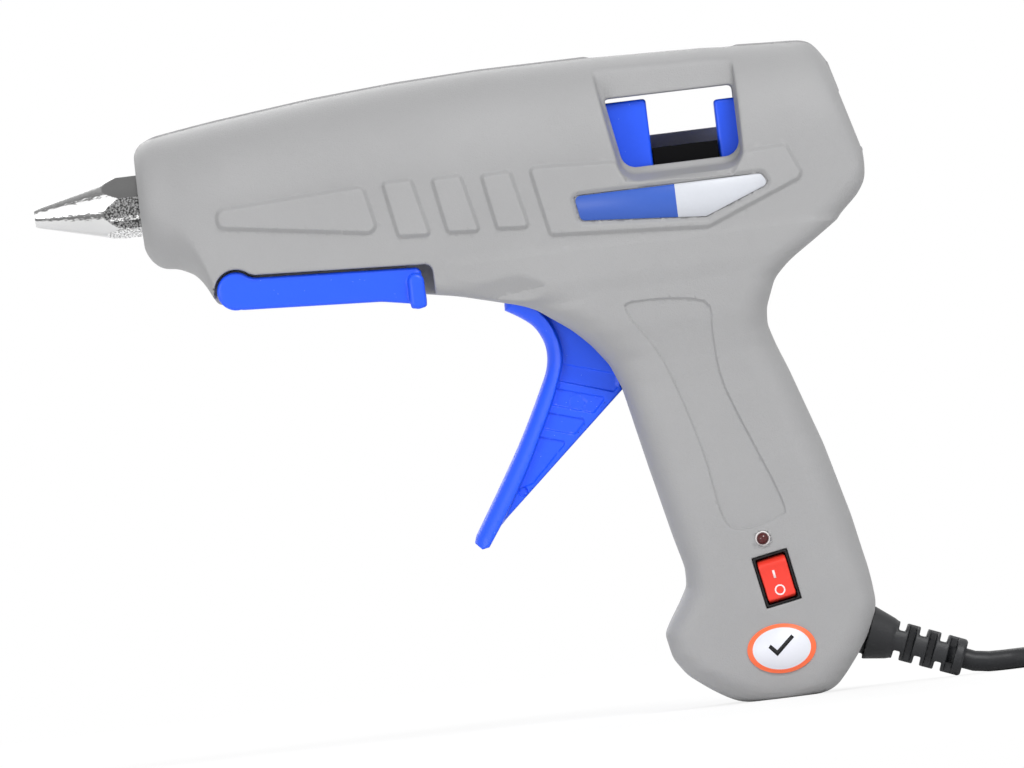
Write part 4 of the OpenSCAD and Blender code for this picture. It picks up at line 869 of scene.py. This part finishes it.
def trigger_form(p):
    """Distance to the trigger: finger, web, hub, fork and spring lugs, less the bore and the slots."""
    x, w, h = p[:, 0], np.abs(p[:, 1]), p[:, 2] - axis_h
    finger = soft_max(outline_gap(x, h, finger_line), w - finger_half, 0.9)
    finger = np.maximum(finger, soft_max(outline_gap(x, h, behind_front), w - finger_half, 4.5))
    sunk = np.zeros(len(x))
    for panel in web_panels:
        sunk = np.maximum(sunk, 0.5 * ramp(rounded(x, h, panel, 0.6), 0.45))
    mould_ring = np.abs(np.hypot(x + 40.1, h + 58.3) - 1.85) - 0.1
    mould_dot = np.hypot(x + 55.2, h + 77.6) - 1.1
    sunk = np.maximum(sunk + 0.12 * ramp(mould_ring, 0.3), 0.8 * ramp(mould_dot, 0.4))
    web = soft_max(outline_gap(x, h, web_line), w - web_half + sunk, 0.8)
    f = soft_min(finger, web, 0.6)
    dx, dh = x - trigger_pin[0], h - trigger_pin[1]
    away = np.hypot(dx, dh)
    hub = np.maximum(away - 5.6, w - 12.1)
    c, s = np.cos(fork_turn), np.sin(fork_turn)
    u, v = dx * c - dh * s, dx * s + dh * c
    fork = np.maximum(outline_gap(u, v, fork_line), np.abs(w - 10.9) - 1.2)
    fork = np.maximum(fork, -np.maximum(np.abs(u) - 2.45, 25.6 - v))
    lugs = np.maximum(outline_gap(u, v, lug_line), np.abs(w - 3.7) - 0.7)
    spring_bar = np.maximum(np.hypot(x + 42.33, h + 19.55) - 1.2, w - 4)
    for part in (hub, fork, lugs, spring_bar):
        f = np.minimum(f, part)
    return np.maximum(f, 2.05 - away)


blue_cell = 0.9
blue_fine = (0.5, 0.3)
skin("trigger_skin", trigger_form, (-70, -13.4, 41), (-23, 13.4, 139),
     blue_cell, blue_fine, "trigger", blue_plastic, ["trigger"])


# Stand: a bent blue moulding, two arms in pockets of the shells, joined by a bar and lifted by the tabs.
# It swings down on two steel pins.
def stand_form(p):
    """Distance to the stand: arms, tabs and bar, less the blind holes for the pins."""
    x, w, h = p[:, 0], np.abs(p[:, 1]), p[:, 2] - axis_h
    arm = soft_max(arm_gap(x, h, 0), np.abs(w - 16.5) - 2.1, 1.0)
    tab_x = -74.1
    tab = np.hypot(x - tab_x, np.maximum(np.abs(h + 27.8) - 2.3, 0)) - 1.9
    tab = soft_min(tab, soft_max(np.abs(x - tab_x) - 1.85, np.abs(h + 29.7) - 2.1, 0.8), 0.2)
    f = soft_min(arm, soft_max(tab, np.abs(w - 19.15) - 1.55, 1.2), 0.5)
    bar = np.maximum(np.maximum(np.abs(x + 78.1) - 2.5, np.abs(h + 28.4) - 1.2), w - 14.9)
    pin_hole = np.maximum(from_pin(x, h, stand_pin) - 1.55, w - 17.4)
    return np.maximum(np.minimum(f, bar), -pin_hole)


skin("stand_skin", stand_form, (-122.2, -22, 98), (-71, 22, 117),
     blue_cell, blue_fine, "stand", blue_plastic, ["stand"])


# Feed: the blue carriage that slides on the shells' ledges and pushes the stick, and the blue guide
# behind it. Both are moulded, and show in the window with flat sides and small rounded edges.
stick_bore_r = 5.8


def block_gap(x, y, h, low, high):
    """Distance to a box between two corners."""
    gaps = [np.maximum(a - v, v - b) for v, a, b in zip((x, y, h), low, high)]
    return soft_max(soft_max(gaps[0], gaps[1], 0.9), gaps[2], 0.9)


def carriage_form(p):
    """Distance to the carriage: tube, head, block, tongues and driving rods, less the bore, the jaw's
    slot and the hole for its pin."""
    x, y, h = p[:, 0], p[:, 1], p[:, 2] - axis_h
    w, r = np.abs(y), np.hypot(y, h)
    f = soft_max(r - 9.2, np.abs(x + 37.75) - 22.25, 1.2)
    f = np.minimum(f, block_gap(x, y, h, (-43.5, -9.2, -9.2), (-15.5, 9.2, 10.5)))
    f = np.minimum(f, block_gap(x, y, h, (-33, -7.2, -16), (-15.5, 7.2, 0)))
    f = np.minimum(f, block_gap(x, y, h, (-19.5, -10.2, -16), (-15.5, 10.2, -13)))
    rods = soft_max(np.hypot(x + 38.89, h) - 2.3, w - 11.8, 0.6)
    f = np.minimum(f, rods)
    f = np.maximum(f, stick_bore_r + np.maximum(0, -57.6 - x) / 2 - r)
    jaw_slot = np.maximum(np.maximum(np.abs(x + 27.9) - 6.1, w - 3.2), h + 1)
    pin_hole = np.hypot(x + 29, h + 11) - 1.5
    return np.maximum(np.maximum(f, -jaw_slot), -pin_hole)


def guide_form(p):
    """Distance to the guide: a tube with a square front on a foot, less the bore."""
    x, y, h = p[:, 0], p[:, 1], p[:, 2] - axis_h
    r = np.hypot(y, h)
    f = soft_max(r - 8.3, np.abs(x - 13.35) - 13.05, 0.9)
    f = np.minimum(f, block_gap(x, y, h, (0.3, -8.3, -16), (13.3, 8.3, 8.3)))
    return np.maximum(f, stick_bore_r + np.maximum(0, 1.3 - x) / 2 - r)


skin("carriage_skin", carriage_form, (-61.2, -13, 115.6), (-14.5, 13, 144.8),
     blue_cell, blue_fine, "carriage", blue_plastic, ["feed_carriage"])
skin("guide_skin", guide_form, (-0.8, -9.4, 116), (27.6, 9.4, 142.4),
     blue_cell, blue_fine, "gun", blue_plastic, ["rear_guide"])

# Switch: a black plastic frame with a pocket, and a red rocker on an axle across it, turned with the
# butt. The marks for on and off are printed on the rocker's face.
black_plastic = moulded("black_plastic", linear(22, 22, 24), 0.45, 1500, 0.2, 0.00002, shine=0.25)
rocker_red = moulded("rocker_red", linear(234, 60, 46), 0.36, 1200, 0.12, 0.00001, shine=0.4)
print_white = moulded("print_white", linear(246, 226, 226), 0.5, 2000, 0.1, 0.00001)
axle_w = 14
face_out = 2.8
face_bend = 0.032
rocker_tilt = np.radians(7)
tilt_c, tilt_s = np.cos(rocker_tilt), np.sin(rocker_tilt)
rocker_line = [[-4.6, -6], [-4.6, 6], [0.5, 6], [0.6, 3.9], [2.6, 1.2], [2.6, -1.2], [0.6, -3.9], [0.5, -6]]


def switch_form(p):
    """Distance to the switch frame and its three terminals, in the turned frame of the switch."""
    w = -p[:, 1]
    u, v = at_switch(p[:, 0], p[:, 2])
    box = soft_max(np.abs(u) - 4.2, np.abs(v) - 6.05, 0.5)
    f = soft_max(box, np.abs(w - 12) - 4.9, 0.4)
    pocket = soft_max(np.abs(u) - 3.6, np.abs(v) - 5.5, 0.5)
    f = soft_max(f, -np.maximum(pocket, 10 - w), 0.25)
    for at in (-3.65, 0.35, 3.35):
        terminal = np.maximum(np.abs(u) - 1.6, np.abs(v - at) - 0.35)
        f = np.minimum(f, np.maximum(terminal, np.abs(w - 4.7) - 2.6))
    return f


def rocker_form(p):
    """Distance to the rocker: round ends about its axle, and a hollow face a = -out - bend b b."""
    y = p[:, 1] + axle_w
    u, v = at_switch(p[:, 0], p[:, 2])
    a, b = y * tilt_c + v * tilt_s, v * tilt_c - y * tilt_s
    away = np.hypot(a, b)
    side = np.maximum(outline_gap(a, b, rocker_line), away - 5.3)
    side = soft_max(side, -face_out - face_bend * b * b - a, 0.5)
    return np.maximum(soft_max(side, np.abs(u) - 3.4, 0.5), 0.8 - away)


def on_rocker(across, along, out):
    """Place on the rocker's hollow face, at a height over it."""
    a = -face_out - face_bend * along * along - out
    y, v = a * tilt_c - along * tilt_s, a * tilt_s + along * tilt_c
    x = switch_at[0] + across * turn_c - v * turn_s
    z = switch_at[1] + across * turn_s + v * turn_c
    return np.stack([x, y - axle_w + 0 * across, z], -1)


skin("switch_skin", switch_form, (-5.5, -17.8, 19.9), (8, -1, 36.3), 0.55, (0.3,), "gun", black_plastic,
     ["switch_body"])
skin("rocker_skin", rocker_form, (-4.4, -19.2, 20.8), (7, -10.2, 35.4), 0.5, (0.3,), "rocker", rocker_red,
     ["switch_rocker"])
print_low, print_high = -0.05, 0.14
bar_across, bar_along = np.array([-0.55, 0, 0, -0.55]), np.array([0.6, 0.6, 2.5, 2.5])
bar = np.array([on_rocker(bar_across, bar_along, out) for out in (print_low, print_high)])
surface("on_mark", bar, "rocker", print_white)
turn_round = np.linspace(0, 2 * np.pi, 48, endpoint=False)
loop = np.array([
    on_rocker(r * np.cos(turn_round), r * np.sin(turn_round) - 2.4, out)
    for r, out in ((1.25, print_low), (1.25, print_high), (0.9, print_high), (0.9, print_low))
])
surface("off_mark", loop, "rocker", print_white, ring=True)

# Lamp: a small domed lens of dark red plastic, pushed through the wall from inside until its flange stops
# it. A thin pale ring round the dome is a painted highlight, for light caught on the edge of the hole.
lens_r = 1.4
lens_w = 16.4
lamp_red = moulded("lamp_red", linear(74, 6, 8), 0.05, 700, 0.3, 0.000002, shine=0.5)
dome = np.radians(np.arange(80, -1, -8.0))


def lamp_rings(r, w):
    """Rings of the radii r about the lamp's axis, at the distances w from the mid-plane."""
    x = lamp_at[0] + r[:, None] * np.cos(turn_round)
    z = lamp_at[1] + r[:, None] * np.sin(turn_round)
    return np.stack([x, -np.repeat(w[:, None], len(turn_round), 1), z], -1)


lamp_r = np.concatenate([[0.02], lens_r * np.cos(dome), [lens_r, 1.9, 1.9, 1.5, 1.5]])
lamp_w = np.concatenate([[17.8], lens_w + lens_r * np.sin(dome), [13.7, 13.7, 12.7, 12.7, 11.2]])
surface("lamp_lens", lamp_rings(lamp_r, lamp_w)[::-1], "gun", lamp_red, ["power_lamp"])
# Painted highlight: a pale thin torus round the dome, where light catches the rim of the hole.
painted_rim_highlight = moulded("painted_rim_highlight", linear(226, 222, 222), 0.3, 900, 0.15, 0.00001)
rim_turn = np.linspace(0, 2 * np.pi, 12, endpoint=False)
rim_r, rim_w = 1.58 + 0.2 * np.cos(rim_turn), 16.42 + 0.2 * np.sin(rim_turn)
surface("lamp_highlight_ring", lamp_rings(rim_r, rim_w), "gun", painted_rim_highlight, ring=True)


# Label and sticker: thin printed films. The label lies in its sunken place and is blue in front and white
# behind. The oval sticker on the butt has a coloured rim and a tick.
def round_line(points, r, steps):
    """Outline whose corners are arcs of the radius r."""
    inner = drawn_in(points, r)
    made = []
    for q, before, after in zip(inner, np.roll(inner, 1, 0), np.roll(inner, -1, 0)):
        first, last = [np.arctan2(*(e[::-1])) for e in (q - before, after - q)]
        swing = (last - first + np.pi) % (2 * np.pi) - np.pi
        angle = first + np.linspace(0, 1, steps) * swing - np.sign(swing) * np.pi / 2
        made.append(q + r * np.stack([np.cos(angle), np.sin(angle)], 1))
    return np.vstack(made)


def film(name, line, z0, near, far, finish, replaced=()):
    """Flat film on the left side: an outline given as x and height, from one distance to another."""
    middle = line.mean(0)
    rows = []
    for w, share in ((near, 1.0), (far - 0.08, 1.0), (far, 0.996)):
        q = middle + share * (line - middle)
        rows.append(np.stack([q[:, 0], np.full(len(q), -w), z0 + q[:, 1]], 1))
    grid = np.array(rows)
    area = np.sum(line[:, 0] * np.roll(line[:, 1], -1) - np.roll(line[:, 0], -1) * line[:, 1])
    if area < 0:
        grid = grid[:, ::-1]
    return surface(name, grid, "gun", finish, replaced)


label_line = round_line([[-35, -10.3], [9.1, -10.2], [10.7, -12.8], [-4.7, -18.6], [-34, -16.1]], 1.2, 6)
label_white = linear(196, 199, 206)
label_film = moulded("label_film", label_white, 0.4, 1500, 0.1, 0.00001)
tree = label_film.node_tree
place = node(tree, "TexCoord", {})
parts = node(tree, "SeparateXYZ", {0: place.outputs["Object"]})
front_part = node(tree, "Math", {0: parts.outputs["X"], 1: -0.0113}, operation="LESS_THAN")
two_tone(tree, front_part.outputs[0], label_white, linear(44, 86, 178))
film("label", label_line, axis_h, 20.05, 20.4, label_film, ["name_plate"])

oval_x, oval_z = 0.5, 11.7
oval_long, oval_high = 8.1, 5.8
sticker_white = linear(222, 224, 232)
sticker_film = moulded("sticker_film", sticker_white, 0.4, 1500, 0.1, 0.00001)
tree = sticker_film.node_tree
place = node(tree, "TexCoord", {})
middle = (oval_x * 0.001, 0, oval_z * 0.001)
centred = node(tree, "VectorMath", {0: place.outputs["Object"], 1: middle}, operation="SUBTRACT")
shares = (1000 / oval_long, 0, 1000 / oval_high)
scaled = node(tree, "VectorMath", {0: centred.outputs["Vector"], 1: shares}, operation="MULTIPLY")
reach = node(tree, "VectorMath", {0: scaled.outputs["Vector"]}, operation="LENGTH")
edge = node(tree, "Math", {0: reach.outputs["Value"], 1: 0.845}, operation="GREATER_THAN")
two_tone(tree, edge.outputs[0], sticker_white, linear(255, 112, 66))
around = np.linspace(0, 2 * np.pi, 72, endpoint=False)
oval = np.stack([oval_x + oval_long * np.cos(around), oval_z + oval_high * np.sin(around)], 1)
film("sticker", oval, 0, 17.0, 17.25, sticker_film, ["oval_sticker"])
tick = np.array([[-2.6, 12.2], [-0.7, 10], [3.7, 14], [3.1, 14.7], [-0.6, 11.4], [-2, 12.9]])
film("sticker_tick", tick, 0, 17.2, 17.28, black_plastic)


# Strain relief: a black rubber sleeve on the cord, with a flange inside the wall, a cone, and staggered
# slots that let it bend.
relief_line = [
    [-6, -3], [-6, 6.8], [-4, 6.8], [-4, 5.2], [0.5, 5.2], [0.7, 6.35], [6, 4.9], [6.8, 4.5],
    [23.3, 4.4], [23.9, 4], [23.9, -3],
]
slot_first = 8.2
slot_pitch = 2.5


def relief_form(p):
    """Distance to the relief: a turned profile along its falling axis, less slots from the sides,
    above and below."""
    y = p[:, 1]
    run, off = along_relief(p[:, 0], p[:, 2])
    f = outline_gap(run, np.hypot(y, off), relief_line)
    for i in range(6):
        across = np.abs(y) - 1.4 if i % 2 else np.abs(off) - 2.45
        f = less(f, np.maximum(np.abs(run - slot_first - slot_pitch * i) - 0.85, -across), 0.35)
    return f


soft_rubber = moulded("soft_rubber", linear(26, 27, 30), 0.5, 800, 0.9, 0.0001, shine=0.45)
skin("relief_skin", relief_form, (11.5, -7.6, -0.4), (46, 7.6, 22.4), 0.6, (0.35,), "gun", soft_rubber,
     ["strain_relief"])


# Plug: a flat moulding of black rubber on the end of the cord, with two round pins. It narrows towards
# the cord, and its edges are rounded.
plug_h = 30


def plug_form(p):
    """Distance to the plug: flat, round at the sides, narrower towards the cord."""
    x, w, v = p[:, 0], np.abs(p[:, 1]), np.abs(p[:, 2] - plug_h)
    narrow = 3.4 * ramp(x - 166, 20)
    f = soft_max(soft_max(w - 13 + narrow, v - 6.8 + 0.3 * narrow, 4.0), np.hypot(w, v) - 13.2, 1.0)
    f = soft_max(f, np.abs(x - 175) - 17, 2.4)
    pin_holes = np.maximum(np.hypot(w - 9.5, v) - 1.75, 180 - x)
    return np.maximum(f, -pin_holes)


plug = skin("plug_skin", plug_form, (156.8, -14.2, 22), (193.2, 14.2, 38), 1.0, (0.6,), "gun", soft_rubber,
            ["plug_body"])

# Inner pieces and fasteners: the cast chamber with its heater, clip, supports and sleeve, the jaw, the
# steel pins, spring and screws, and the black trough, clamp and tie. They keep the shapes of their nodes
# and get their materials here.
plain_steel = moulded("plain_steel", linear(176, 178, 182), 0.32, 1200, 0.3, 0.00002, metal=1.0)
cast_metal = moulded("cast_metal", linear(150, 150, 152), 0.5, 700, 0.4, 0.00008, metal=0.9)
nickel = moulded("nickel", linear(200, 198, 190), 0.26, 1200, 0.2, 0.00001, metal=1.0)
ceramic = moulded("ceramic", linear(232, 226, 208), 0.6, 1200, 0.2, 0.00003)
dark_trough = moulded("dark_trough", linear(9, 9, 11), 0.7, 1500, 0.2, 0.00002, shine=0.08)
phenolic = moulded("phenolic", linear(120, 84, 52), 0.6, 900, 0.5, 0.00004)
silicone = moulded("silicone", linear(190, 88, 58), 0.55, 900, 0.2, 0.00003)
finishes = {
    "melt_chamber": cast_metal, "heater_element": ceramic, "heater_clip": plain_steel,
    "front_support": phenolic, "rear_support": phenolic, "inlet_sleeve": silicone,
    "sleeve_clamp": plain_steel, "stick_trough": dark_trough, "grip_jaw": blue_plastic,
    "jaw_pin": plain_steel, "trigger_pin": plain_steel, "return_spring": plain_steel,
    "stand_pins": plain_steel, "shell_screws": plain_steel, "cord_clamp": black_plastic,
    "clamp_screws": plain_steel, "cord_tie": soft_rubber, "plug_pins": nickel,
}
for name, finish in finishes.items():
    nodes[name].data.materials.clear()
    nodes[name].data.materials.append(finish)
